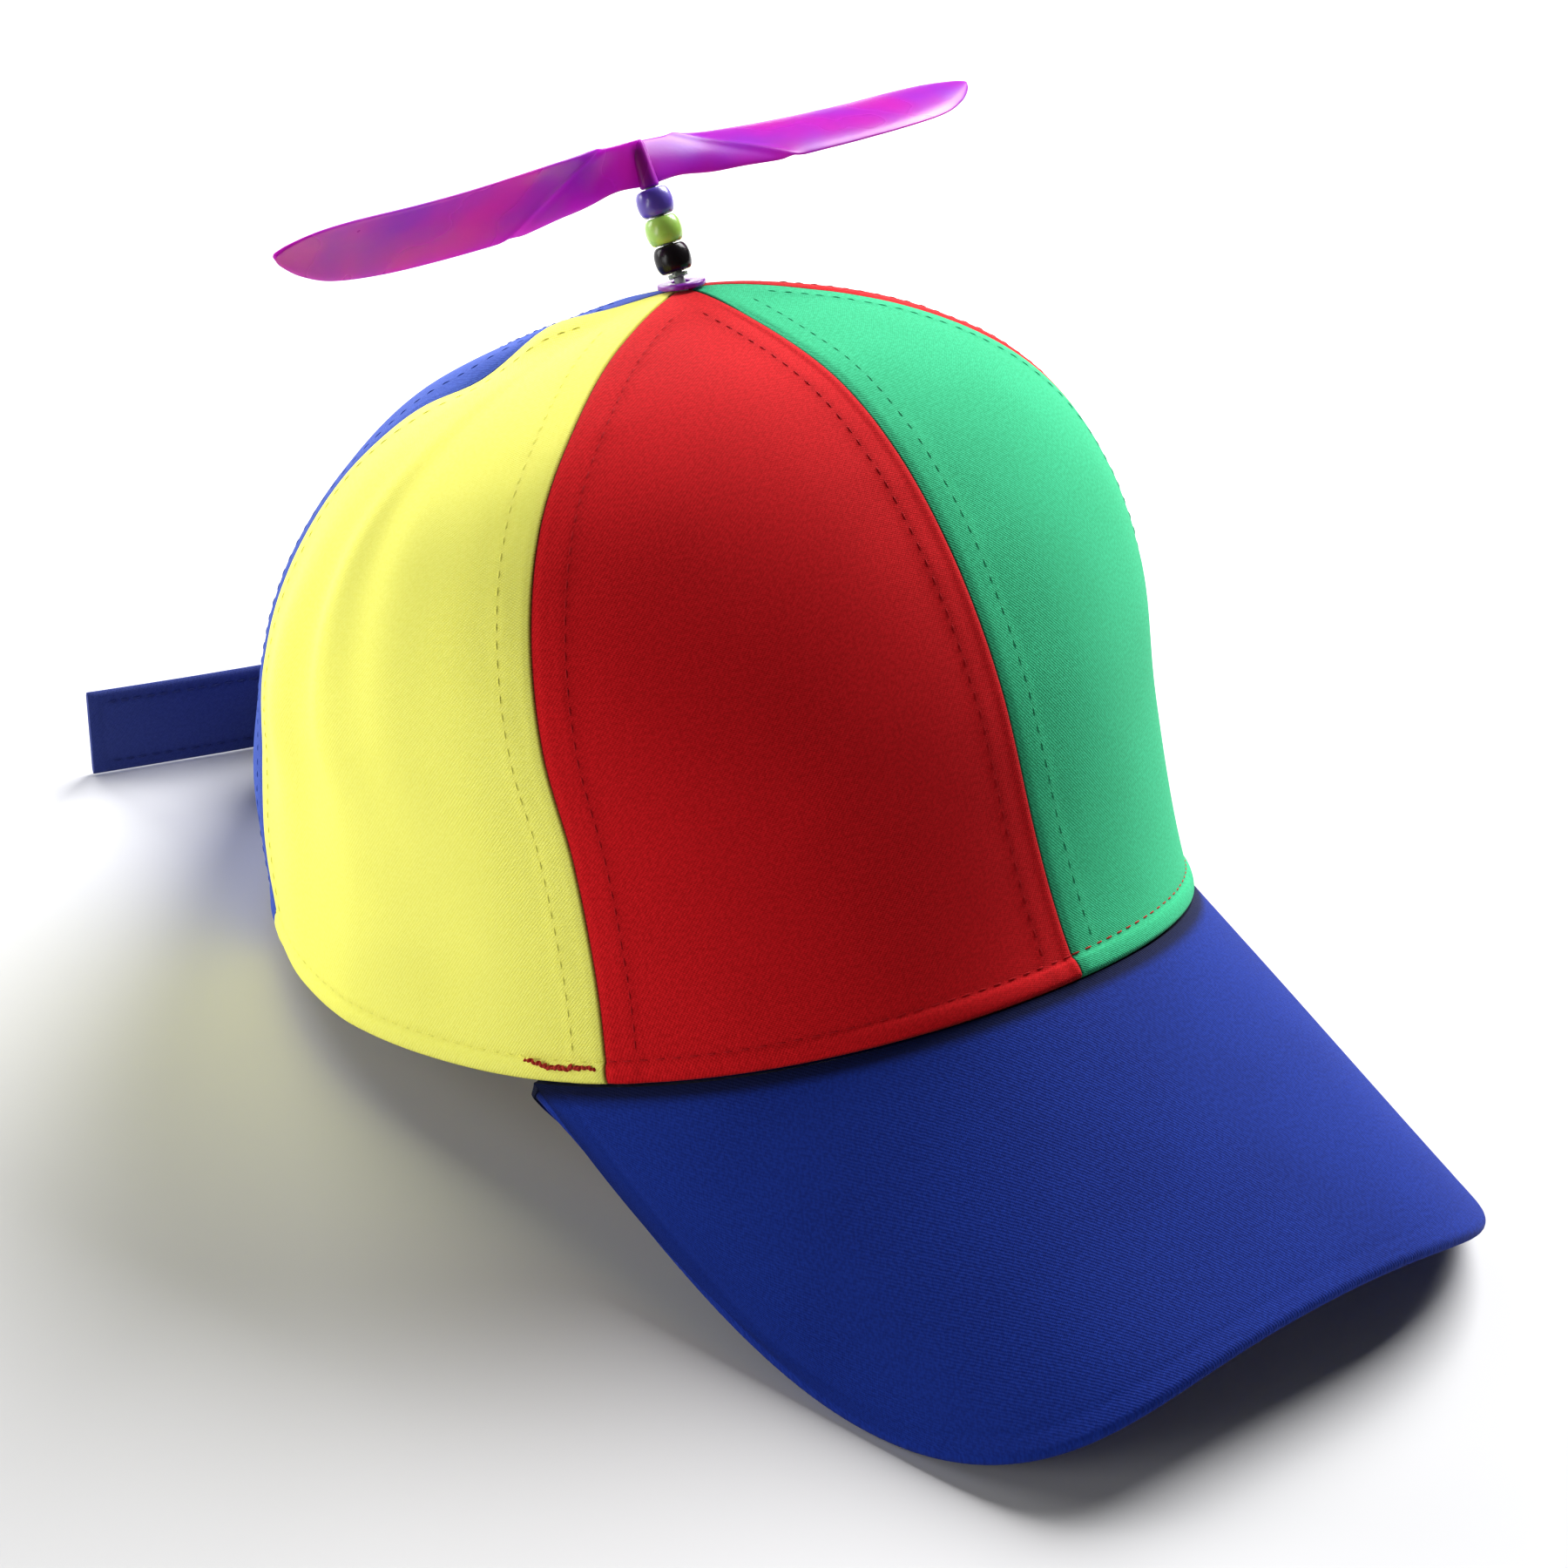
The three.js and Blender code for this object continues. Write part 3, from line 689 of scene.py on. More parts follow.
@dataclass(frozen=True)
class ClothFinish:
    """Dyed cotton twill. Lengths in metres."""

    name: str
    slot: str
    colour: Colour
    deep: Colour
    # Colour of the painted shade in the seams and along the stitch lines.
    shade: Colour
    pitch: float = 0.62 * MM
    depth: float = 0.09 * MM
    strength: float = 0.75
    roughness: float = 0.9
    worn: float = 0.12
    sheen: float = 0.04
    sheen_roughness: float = 0.45
    shine: float = 0.12
    # Strength of that painted shade.
    painted_shade_amount: float = 0.75

    def build(self, effects: Effects) -> bpy.types.Material:
        """The finish as a material.

        Args:
            effects: The shared node groups.

        Returns:
            The new material.
        """
        material, w, shader = start_material(self.name)
        weave, dye, shade = (
            w.node("ShaderNodeGroup", node_tree=tree)
            for tree in (effects.twill, effects.dye, effects.painted_seam_shade)
        )
        height, yarn = weave.outputs["Height"], weave.outputs["Yarn"]
        w.fill(weave, {"Pitch": self.pitch})
        colours = {"Colour": (*self.colour, 1.0), "Deep Colour": (*self.deep, 1.0)}
        w.fill(dye, {**colours, "Yarn": yarn, "Weave Height": height})
        # Mixes in the painted shade along the seams and stitch lines.
        w.fill(shade, {"Colour": dye.outputs["Colour"], "Shade": (*self.shade, 1.0)})
        w.fill(shade, {"Amount": self.painted_shade_amount})
        worn = w.math("MULTIPLY", w.math("SUBTRACT", yarn, 0.5), self.worn)
        inputs = {
            "Base Color": shade.outputs["Colour"],
            "Roughness": w.math("ADD", worn, self.roughness),
            "Sheen Weight": self.sheen,
            "Sheen Roughness": self.sheen_roughness,
            "Specular IOR Level": self.shine,
            "Normal": w.relief(height, self.strength, self.depth),
        }
        w.fill(shader, inputs)
        return material


@dataclass(frozen=True)
class ThreadFinish:
    """Twisted sewing thread. Lengths in metres."""

    thread: Thread
    darkest: float = 0.88
    roughness: float = 0.75
    shine: float = 0.12
    strength: float = 0.5
    depth: float = 0.1 * MM

    def build(self, effects: Effects) -> bpy.types.Material:
        """The finish as a material.

        Args:
            effects: The shared node groups, which thread has no use for.

        Returns:
            The new material.
        """
        material, w, shader = start_material(f"thread_{self.thread.name.lower()}")
        colour = self.thread.value
        place = w.node("ShaderNodeTexCoord").outputs["Object"]
        share = w.spread(w.noise(place, 2500.0, 2.0), 0.3, 0.7)
        dark = tuple(self.darkest * c for c in colour)
        inputs = {
            "Base Color": w.mix(share, (*colour, 1.0), (*dark, 1.0)),
            "Roughness": self.roughness,
            "Specular IOR Level": self.shine,
            "Normal": w.relief(share, self.strength, self.depth),
        }
        w.fill(shader, inputs)
        return material


@dataclass(frozen=True)
class PlasticFinish:
    """Moulded glossy plastic. see_through is the share of light that passes. Lengths in metres."""

    name: str
    slot: str
    colour: Colour
    deep: Colour
    roughness: float = 0.2
    see_through: float = 0.0
    scatter: float = 0.0
    scatter_depth: float = 2.0 * MM
    skin: float = 0.12
    skin_depth: float = 0.4 * MM
    coat: float = 0.3
    coat_roughness: float = 0.08
    shine: float = 0.5
    flow_size: float = 90.0

    def build(self, effects: Effects) -> bpy.types.Material:
        """The finish as a material.

        Args:
            effects: The shared node groups.

        Returns:
            The new material.
        """
        material, w, shader = start_material(self.name)
        skin = w.node("ShaderNodeGroup", node_tree=effects.moulding)
        w.fill(skin, {"Flow Size": self.flow_size})
        flow = skin.outputs["Flow"]
        inputs = {
            "Base Color": w.mix(flow, (*self.colour, 1.0), (*self.deep, 1.0)),
            "Roughness": w.math("ADD", w.math("MULTIPLY", flow, 0.1), self.roughness),
            "Specular IOR Level": self.shine,
            "Transmission Weight": self.see_through,
            "Subsurface Weight": self.scatter,
            "Subsurface Radius": (1.0, 0.5, 1.0),
            "Subsurface Scale": self.scatter_depth,
            "Coat Weight": self.coat,
            "Coat Roughness": self.coat_roughness,
            "Normal": w.relief(skin.outputs["Height"], self.skin, self.skin_depth),
        }
        w.fill(shader, inputs)
        return material


Finish = ClothFinish | ThreadFinish | PlasticFinish

# The third colour of each cloth is its painted shade for the seams and stitch lines.
RED = ClothFinish(
    "red_twill", "red_cloth", (0.7, 0.007, 0.012), (0.46, 0.003, 0.005), (0.06, 0.001, 0.002)
)
GREEN = ClothFinish(
    "green_twill", "green_cloth", (0.045, 0.54, 0.26), (0.025, 0.37, 0.16), (0.006, 0.07, 0.03)
)
YELLOW = ClothFinish(
    "yellow_twill", "yellow_cloth", (0.97, 0.96, 0.2), (0.92, 0.9, 0.14), (0.45, 0.38, 0.04)
)
BLUE = ClothFinish(
    "blue_twill", "blue_cloth", (0.05, 0.105, 0.48), (0.035, 0.07, 0.35), (0.004, 0.01, 0.08)
)
# Near-black, strong painted shade: the shadow on the peak under the crown's rim.
PEAK_BLUE = ClothFinish(
    "peak_twill",
    "peak_cloth",
    (0.008, 0.033, 0.3),
    (0.004, 0.016, 0.17),
    (0.001, 0.002, 0.01),
    painted_shade_amount=0.9,
)
NAVY = ClothFinish(
    "navy_twill", "navy_cloth", (0.038, 0.055, 0.22), (0.028, 0.042, 0.18), (0.005, 0.008, 0.04)
)
PROPELLER = PlasticFinish(
    "propeller_purple",
    "propeller_plastic",
    (0.5, 0.014, 0.4),
    (0.28, 0.012, 0.5),
    roughness=0.24,
    see_through=0.25,
    scatter=0.5,
    scatter_depth=4.0 * MM,
    skin=0.05,
    coat=0.0,
    shine=0.08,
    flow_size=45.0,
)
WASHER = PlasticFinish(
    "washer_purple", "washer_plastic", (0.4, 0.04, 0.6), (0.25, 0.02, 0.42), 0.2, 0.35, 0.4
)
NECK = PlasticFinish(
    "neck_clear", "neck_plastic", (0.4, 0.5, 0.38), (0.28, 0.36, 0.28), 0.12, 0.6
)
POST = PlasticFinish("post_grey", "post_plastic", (0.36, 0.4, 0.36), (0.28, 0.31, 0.28), 0.4)
BLACK = PlasticFinish(
    "bead_black",
    "black_plastic",
    (0.008, 0.006, 0.008),
    (0.005, 0.004, 0.005),
    0.22,
    coat=0.0,
    shine=0.22,
)
LIME = PlasticFinish(
    "bead_lime", "lime_plastic", (0.42, 0.7, 0.12), (0.33, 0.6, 0.08), 0.26, scatter=0.35
)
VIOLET = PlasticFinish(
    "bead_violet", "violet_plastic", (0.13, 0.075, 0.54), (0.09, 0.05, 0.43), 0.24, scatter=0.3
)


class Workshop:
    """Makes mesh objects, dresses them and hangs them on their body."""

    def __init__(self) -> None:
        """Builds the shared effects and starts an empty stock of materials."""
        self.effects = Effects()
        self.stock: dict[Finish, bpy.types.Material] = {}

    def material(self, finish: Finish) -> bpy.types.Material:
        """Looks a material up, or makes it at its first use.

        Args:
            finish: The finish that it shows.

        Returns:
            The material.
        """
        if finish not in self.stock:
            self.stock[finish] = finish.build(self.effects)
        return self.stock[finish]

    def mesh(
        self, name: str, points: np.ndarray, faces: Sequence[Sequence[int]], sharp: float = 40.0
    ) -> bpy.types.Object:
        """A smooth-shaded mesh object in the scene.

        Args:
            name: Its name.
            points: Its points in metres in the row frame, one a line.
            faces: Its faces as rows of point numbers.
            sharp: Edges that turn by more than this many degrees stay sharp.

        Returns:
            The object.
        """
        data = bpy.data.meshes.new(name)
        data.from_pydata(np.asarray(points, float).tolist(), [], [list(f) for f in faces])
        data.update()
        return self.show(name, data, sharp)

    def show(self, name: str, data: bpy.types.Mesh, sharp: float) -> bpy.types.Object:
        """Shades a mesh smoothly and puts it in the scene.

        Args:
            name: The object's name.
            data: Its mesh.
            sharp: Edges that turn by more than this many degrees stay sharp.

        Returns:
            The object.
        """
        data.shade_smooth()
        data.set_sharp_from_angle(angle=math.radians(sharp))
        made = bpy.data.objects.new(name, data)
        bpy.context.scene.collection.objects.link(made)
        return made

    def dress(
        self, piece: bpy.types.Object, finish: Finish, body: str, replaced: Sequence[str] = ()
    ) -> None:
        """Gives a piece its finish and its body, and reports it.

        Args:
            piece: The mesh object.
            finish: Its finish.
            body: The body that it moves with.
            replaced: Names of the CAD nodes that it stands for.
        """
        piece.data.materials.clear()
        piece.data.materials.append(self.material(finish))
        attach(piece, body)
        if replaced:
            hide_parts(*replaced)
        LOG.info("%s: %d faces on %s", piece.name, len(piece.data.polygons), body)


def signed_volume(points: np.ndarray, faces: Sequence[Sequence[int]]) -> float:
    """Volume inside closed faces.

    Args:
        points: The points, one a line.
        faces: Faces as rows of point numbers.

    Returns:
        The volume, below zero where the faces point in.
    """
    triangles = np.array([(f[0], f[k], f[k + 1]) for f in faces for k in range(1, len(f) - 1)])
    a, b, c = (points[triangles[:, k]] for k in range(3))
    return float(np.einsum("ij,ij->i", a, np.cross(b, c)).sum()) / 6


def facing_out(points: np.ndarray, faces: Sequence[Sequence[int]]) -> list[list[int]]:
    """The faces, turned over where they point in."""
    flip = signed_volume(points, faces) < 0
    return [list(f)[::-1] if flip else list(f) for f in faces]


def shell_faces(columns: int, rows: int) -> np.ndarray:
    """Quads of a closed body between two facing grids, the second one's points after the first.

    Args:
        columns: Number of columns in each grid.
        rows: Number of points in each column.

    Returns:
        One row of four point numbers for each quad.
    """
    outer, inner = np.arange(2 * columns * rows).reshape(2, columns, rows)
    quads = [
        (outer[:-1, :-1], outer[1:, :-1], outer[1:, 1:], outer[:-1, 1:]),
        (inner[:-1, :-1], inner[:-1, 1:], inner[1:, 1:], inner[1:, :-1]),
        (outer[:-1, 0], inner[:-1, 0], inner[1:, 0], outer[1:, 0]),
        (outer[:-1, -1], outer[1:, -1], inner[1:, -1], inner[:-1, -1]),
        (outer[0, :-1], outer[0, 1:], inner[0, 1:], inner[0, :-1]),
        (outer[-1, :-1], inner[-1, :-1], inner[-1, 1:], outer[-1, 1:]),
    ]
    return np.concatenate([np.stack([c.ravel() for c in quad], axis=1) for quad in quads])


def shell_object(
    shop: Workshop,
    name: str,
    outer: np.ndarray,
    inner: np.ndarray,
    cloth_map: np.ndarray,
    masks: dict[str, np.ndarray],
) -> bpy.types.Object:
    """A closed cloth body between two facing grids.

    Args:
        shop: The workshop that makes it.
        name: Its name.
        outer: Grid of the shown face in metres.
        inner: Grid of the hidden face in metres.
        cloth_map: Place of each grid point on the flat cloth, in metres.
        masks: Named values from 0 to 1, one for each grid point, that the materials read as
            painted shade.

    Returns:
        The object, with the map as its UV layer.
    """
    points = np.concatenate([outer.reshape(-1, 3), inner.reshape(-1, 3)])
    made = shop.mesh(name, points, facing_out(points, shell_faces(*outer.shape[:2])), sharp=55.0)
    flat = np.tile(cloth_map.reshape(-1, 2), (2, 1))
    layer = made.data.uv_layers.new(name="cloth")
    corners = np.zeros(len(made.data.loops), np.int32)
    made.data.loops.foreach_get("vertex_index", corners)
    layer.data.foreach_set("uv", flat[corners].astype(np.float32).ravel())
    for mask_name, values in masks.items():
        attribute = made.data.attributes.new(mask_name, "FLOAT", "POINT")
        attribute.data.foreach_set("value", np.tile(values.ravel(), 2).astype(np.float32))
    return made


@dataclass(frozen=True)
class Stitching:
    """Lays single stitches along a line on a surface. Lengths in millimetres."""

    pitch: float = 3.1
    length: float = 2.1
    half_width: float = 0.15
    proud: float = 0.07
    sunk: float = 0.12
    jitter: float = 0.06
    sides: int = 6
    rings: int = 7

    def along(self, line: np.ndarray, normals: np.ndarray) -> tuple[np.ndarray, np.ndarray]:
        """Stitches along a line.

        Args:
            line: Points of the line in metres.
            normals: The surface's normals at them.

        Returns:
            Points and quads of all its stitches.
        """
        at = run_along(line)
        count = int(at[-1] / (self.pitch * MM))
        rng = np.random.default_rng(7 + count)
        middles = (np.arange(count) + 0.5) * at[-1] / max(count, 1)
        middles = middles + rng.uniform(-self.jitter, self.jitter, count) * self.pitch * MM
        half = self.length * MM / 2
        ways = read_line(line, at, middles + half) - read_line(line, at, middles - half)
        centres, ups = read_line(line, at, middles), unit(read_line(normals, at, middles))
        return self.bodies(centres, unit(ways), ups, np.full(count, half))

    def bodies(
        self, centres: np.ndarray, ways: np.ndarray, ups: np.ndarray, halves: np.ndarray
    ) -> tuple[np.ndarray, np.ndarray]:
        """Bowed, pointed thread bodies.

        Args:
            centres: Middle of each stitch in metres.
            ways: Direction of each stitch.
            ups: Direction away from the cloth.
            halves: Half length of each stitch in metres.

        Returns:
            Their points and quads.
        """
        across = unit(np.cross(ups, ways))
        t = np.linspace(-1.0, 1.0, self.rings)
        thick = np.sqrt(np.maximum(0.0, 1.0 - t**4)) * 0.9 + 0.08
        bow = (1.0 - t * t) * (self.proud + self.sunk) - self.sunk
        angle = np.linspace(0.0, math.tau, self.sides, endpoint=False)
        ring_side = np.outer(thick * self.half_width, np.cos(angle)) * MM
        ring_up = (np.outer(thick * self.half_width * 0.8, np.sin(angle)) + bow[:, None]) * MM
        points = (
            centres[:, None, None, :]
            + (t[None, :, None, None] * halves[:, None, None, None]) * ways[:, None, None, :]
            + ring_side[None, :, :, None] * across[:, None, None, :]
            + ring_up[None, :, :, None] * ups[:, None, None, :]
        ).reshape(-1, 3)
        points[:, 2] = np.maximum(points[:, 2], 0.0)
        shape = (len(centres), self.rings, self.sides)
        ids = np.arange(math.prod(shape)).reshape(shape)
        turned = np.roll(ids, -1, axis=2)
        sides = np.stack([ids[:, :-1], turned[:, :-1], turned[:, 1:], ids[:, 1:]], axis=-1)
        quads = [sides.reshape(-1, 4)]
        for ring in (ids[:, 0, ::-1], ids[:, -1]):
            quads += [ring[:, [0, 1, 2, 3]], ring[:, [0, 3, 4, 5]]]
        return points, np.array(facing_out(points, np.concatenate(quads)))


def gathered(parts: Sequence[tuple[np.ndarray, np.ndarray]]) -> tuple[np.ndarray, np.ndarray]:
    """Gathers several bodies in one.

    Args:
        parts: Points and faces of each body.

    Returns:
        One list of points and one of faces.
    """
    points, faces, base = [], [], 0
    for part_points, part_faces in parts:
        points.append(part_points)
        faces.append(part_faces + base)
        base += len(part_points)
    return np.concatenate(points), np.concatenate(faces)


class Place(Enum):
    """The crown's panels on one side: each one's flat width, length and area, in metres."""

    FRONT = (0.1, 0.162, 0.0111)
    SIDE = (0.1, 0.17, 0.0118)
    REAR = (0.1, 0.17, 0.01035)


@dataclass(frozen=True)
class PanelPlan:
    """One panel of the crown. Its edges stand proud at their seams by some millimetres."""

    place: Place
    is_left: bool
    finish: ClothFinish
    thread: Thread
    hem_thread: Thread
    proud_from: float
    proud_to: float
    seed: float

    @property
    def node(self) -> str:
        """Name of the CAD node that the panel replaces."""
        return f"panel_{self.place.name.lower()}_{'left' if self.is_left else 'right'}"

    @property
    def beside(self) -> str:
        """Name of the node that the panel is sewn to and held by, going forward."""
        forward = {Place.FRONT: None, Place.SIDE: "front", Place.REAR: "side"}[self.place]
        return f"panel_{forward}_{'left' if self.is_left else 'right'}" if forward else "peak"

    @property
    def flat(self) -> tuple[float, float]:
        """Width and length of the flat cloth in metres."""
        return self.place.value[:2]

    @property
    def area(self) -> float:
        """Area of the flat cloth in square metres."""
        return self.place.value[2]

    @property
    def seams(self) -> tuple[float, float]:
        """Azimuths of the forward and the rear seam, as on the wearer's right."""
        at = (0.0, CROWN.side_seam, CROWN.rear_seam, math.pi)
        return at[list(Place).index(self.place) :][:2]


PANELS = (
    PanelPlan(Place.FRONT, False, RED, Thread.RED, Thread.RED, 0.35, 0.0, 3.1),
    PanelPlan(Place.FRONT, True, GREEN, Thread.GREEN, Thread.RUST, -0.12, 0.0, 5.7),
    PanelPlan(Place.SIDE, False, YELLOW, Thread.YELLOW, Thread.YELLOW, 0.1, 0.1, 9.4),
    PanelPlan(Place.SIDE, True, RED, Thread.RED, Thread.RED, 0.0, 0.1, 12.2),
    PanelPlan(Place.REAR, False, BLUE, Thread.BLUE, Thread.BLUE, -0.1, 0.1, 15.9),
    PanelPlan(Place.REAR, True, YELLOW, Thread.YELLOW, Thread.YELLOW, 0.0, 0.0, 18.3),
)


@dataclass
class Panel:
    """Cuts, shapes and sews one panel of the crown. Lengths in millimetres."""

    plan: PanelPlan
    gap: float = 0.02
    edge_roll: float = 0.6
    stitch_in: float = 6.2
    stitch_width: float = 0.6
    hem_in: float = 4.3
    allowance: float = 0.2
    hem_proud: float = 0.7
    pulled_in: float = 0.14
    pulled_size: float = 3.1
    pucker: float = 0.16
    pucker_size: float = 7.0
    slack: float = 0.4
    slack_size: float = 34.0
    calm_from: float = 9.0
    calm_to: float = 26.0
    width: float = 98.0
    width_to_opening: float = 52.0
    rise: float = 172.0
    column_step: float = 2.6
    row_step: float = 2.0
    arch_steps: int = 34
    near_edge: Values = (
        *(0, 0.12, 0.3, 0.55, 0.9, 1.4, 2.0, 2.7, 3.4, 3.9, 4.3, 4.8, 5.6),
        *(6.1, 6.5, 7.0, 7.7, 8.7, 10),
    )
    near_top: Values = (1.2, 0.5, 0.0)
    last_columns: Values = (0.6, 0.3, 0.12, 0.04, 0.0)
    stitching: Stitching = field(default_factory=Stitching)

    def foot_levels(self, azimuths: np.ndarray) -> np.ndarray:
        """Level of the lower edge, which is the rim or the arch of the back opening.

        Args:
            azimuths: Azimuth of each column.

        Returns:
            One level for each column.
        """
        levels = np.zeros(len(azimuths))
        if self.plan.place is Place.REAR:
            for k, azimuth in enumerate(azimuths):
                out = abs(CROWN.point(azimuth, 0.0)[0]) / CROWN.opening_half_width
                rise = CROWN.opening_height * math.sqrt(max(0.0, 1.0 - out * out))
                levels[k] = CROWN.level_at(azimuth, rise) if rise > 0 else 0.0
        return levels

    def shares(self, total: float, step: float, both: bool) -> np.ndarray:
        """Shares from 0 to 1 that crowd near the ends of a length.

        Args:
            total: The length.
            step: Distance between two places in its middle.
            both: Whether they crowd at both ends, and not only at the first one.

        Returns:
            The shares in rising order.
        """
        near = np.array(self.near_edge)
        far = total - (near[::-1] if both else np.array(self.near_top))
        count = max(3, int((far[0] - near[-1]) / step))
        middle = np.linspace(near[-1], far[0], count)[1:-1]
        return np.concatenate([near, middle, far]) / total

    def columns(self) -> np.ndarray:
        """Places the panel's columns.

        Returns:
            Azimuth of each column.
        """
        low, high = self.plan.seams
        if self.plan.place is not Place.REAR:
            return low + (high - low) * self.shares(self.width, self.column_step, both=True)
        corner = CROWN.rim_azimuth(CROWN.opening_half_width)
        shares = self.shares(self.width_to_opening, self.column_step, both=False)
        plain = low + (corner - low) * shares[: -len(self.near_top)]
        turn = np.linspace(0.0, math.pi / 2, self.arch_steps)
        out = CROWN.opening_half_width * np.cos(turn[1:-1])
        arch = [CROWN.rim_azimuth(d) for d in out]
        tail = math.pi - (math.pi - arch[-1]) * np.array(self.last_columns)
        return np.concatenate([plain, [corner], arch, tail])

    def base_grid(self) -> tuple[np.ndarray, np.ndarray, np.ndarray, np.ndarray]:
        """Lays out the panel's grid, before any relief.

        Returns:
            Points, outward normals, azimuths and levels.
        """
        azimuths = self.columns()
        feet = self.foot_levels(azimuths)
        rows = self.shares(self.rise, self.row_step, both=False)
        tops = np.array([CROWN.hole_level(a) for a in azimuths])
        levels = feet[:, None] + (tops - feet)[:, None] * rows[None, :]
        grid = np.repeat(azimuths[:, None], len(rows), axis=1)
        low, high = self.plan.seams
        share = (grid - low) / (high - low)
        first, last = (self.half_gap(seam, levels[end]) for seam, end in ((low, 0), (high, -1)))
        grid = grid + (1 - share) * first[None, :] - share * last[None, :]
        if self.plan.is_left:
            grid = -grid
        return CROWN.point(grid, levels), CROWN.normal(grid, levels), grid, levels

    def half_gap(self, azimuth: float, level: np.ndarray) -> np.ndarray:
        """Turn that goes half a gap from a seam.

        Args:
            azimuth: The seam's azimuth.
            level: The levels.

        Returns:
            The turn at each level, in radians.
        """
        step = 0.01
        beside = CROWN.point(azimuth + step, level) - CROWN.point(azimuth - step, level)
        return self.gap * step / np.maximum(np.linalg.norm(beside, axis=-1), TINY)

    @staticmethod
    def away_from(line: np.ndarray, grid: np.ndarray) -> np.ndarray:
        """Distance of each grid point from a line.

        Args:
            line: Points of the line.
            grid: The grid of points.

        Returns:
            One distance in millimetres for each grid point.
        """
        a, b = line[:-1], line[1:]
        way = b - a
        flat = grid.reshape(-1, 1, 3)
        t = np.clip(((flat - a) * way).sum(-1) / np.maximum((way * way).sum(-1), TINY), 0, 1)
        gap = np.linalg.norm(flat - (a + t[..., None] * way), axis=-1)
        return gap.min(axis=1).reshape(grid.shape[:2])

    def relief(self, grid: np.ndarray) -> tuple[np.ndarray, np.ndarray, dict[str, np.ndarray]]:
        """Height of the sewn cloth over the plain shape.

        Args:
            grid: Points of the plain shape.

        Returns:
            The height, the distance from the lower edge, and the painted shade masks that the
            materials read.
        """
        first, last = self.away_from(grid[0], grid), self.away_from(grid[-1], grid)
        foot = self.away_from(grid[:, 0], grid)
        near, seed = np.minimum(first, last), self.plan.seed
        calm = smooth_step(run_along(grid)[-1], self.calm_from, self.calm_to)[None, :]
        roll = np.clip(np.minimum(near, foot) / self.edge_roll, 0.0, 1.0)
        height = -self.edge_roll * (1.0 - np.sqrt(1.0 - (1.0 - roll) ** 2))
        past_stitches = smooth_step(near, self.stitch_in - 0.1, self.stitch_in + 1.5)
        doubled = smooth_step(near, 0.5, 1.8) * (1.0 - past_stitches)
        height = height + self.allowance * doubled * calm
        # Painted shade at the lower edge and in the seams, wider beside an edge that lies lower.
        groove_shade = 0.7 * (1.0 - smooth_step(foot, 0.0, 0.6))
        for away, proud in ((first, self.plan.proud_from), (last, self.plan.proud_to)):
            height = height + proud * (1.0 - smooth_step(away, 0.9, 2.4)) * calm
            groove_shade_width = 0.55 + 2.2 * max(0.0, -proud)
            groove_shade = np.maximum(groove_shade, 1.0 - smooth_step(away, 0.05, groove_shade_width))
        roll_at = np.clip(foot / (self.hem_in - 0.5), 0.0, 1.0)
        hem = np.sqrt(np.maximum(0.0, 1.0 - (2 * roll_at - 1.0) ** 2))
        height = height + self.hem_proud * hem
        seam_stitches = bump(near, self.stitch_in, self.stitch_width) * calm
        sewn = np.maximum(seam_stitches, bump(foot, self.hem_in, self.stitch_width))
        pulled = soft_noise(grid, self.pulled_size, seed) * 0.5 + 0.6
        height = height - self.pulled_in * sewn * pulled
        pucker = soft_noise(grid, self.pucker_size, seed + 20)
        pucker = pucker * bump(near, self.stitch_in, 5.0) * calm
        slack = soft_noise(grid, self.slack_size, seed + 40) * smooth_step(near, 4.0, 22.0)
        height = height + self.pucker * pucker + self.slack * slack
        # Masks of painted shade: seam for the seams and lower edge, stitch for the stitch lines.
        return height, foot, {"seam": groove_shade, "stitch": sewn}

    def cloth_map(self, grid: np.ndarray) -> np.ndarray:
        """Place of each point on the flat cloth, with the grain up the panel's middle.

        Args:
            grid: Points of the plain shape.

        Returns:
            Two places in metres for each point.
        """
        along = run_along(grid)
        across = along - along[-1:] / 2
        up = run_along(grid[len(grid) // 2])
        return np.stack([across, np.broadcast_to(up, across.shape)], axis=-1) * MM

    def seam_lines(
        self, grid: np.ndarray, face: np.ndarray, normals: np.ndarray
    ) -> list[tuple[np.ndarray, np.ndarray]]:
        """Stitch lines beside the two seams.

        Args:
            grid: Points of the plain shape.
            face: Points of the shown face in metres.
            normals: Normals in the row frame.

        Returns:
            Points and normals of each line.
        """
        found, at = [], self.stitch_in
        for order in (1, -1):
            plain, shown, outward = (a[::order] for a in (grid, face, normals))
            along, feet = run_along(plain), self.away_from(grid[:, 0], plain)
            rows = [
                j
                for j in range(plain.shape[1])
                if along[-1, j] >= 2.6 * at
                and np.interp(at, along[:, j], feet[:, j]) >= self.hem_in + 1.0
            ]
            line = [read_line(shown[:, j], along[:, j], at) for j in rows]
            ups = [read_line(outward[:, j], along[:, j], at) for j in rows]
            found.append((np.array(line), np.array(ups)))
        return found

    def hem_line(
        self, foot: np.ndarray, face: np.ndarray, normals: np.ndarray
    ) -> tuple[np.ndarray, np.ndarray]:
        """Stitch line over the hem.

        Args:
            foot: Distance of each grid point from the lower edge.
            face: Points of the shown face in metres.
            normals: Normals in the row frame.

        Returns:
            Points and normals of the line.
        """
        line, ups = [], []
        for rise, shown, outward in zip(foot, face, normals):
            if rise.max() < self.hem_in:
                continue
            j = int(np.argmax(rise > self.hem_in))
            t = (self.hem_in - rise[j - 1]) / max(rise[j] - rise[j - 1], TINY)
            line.append(shown[j - 1] * (1 - t) + shown[j] * t)
            ups.append(outward[j - 1] * (1 - t) + outward[j] * t)
        return np.array(line), np.array(ups)

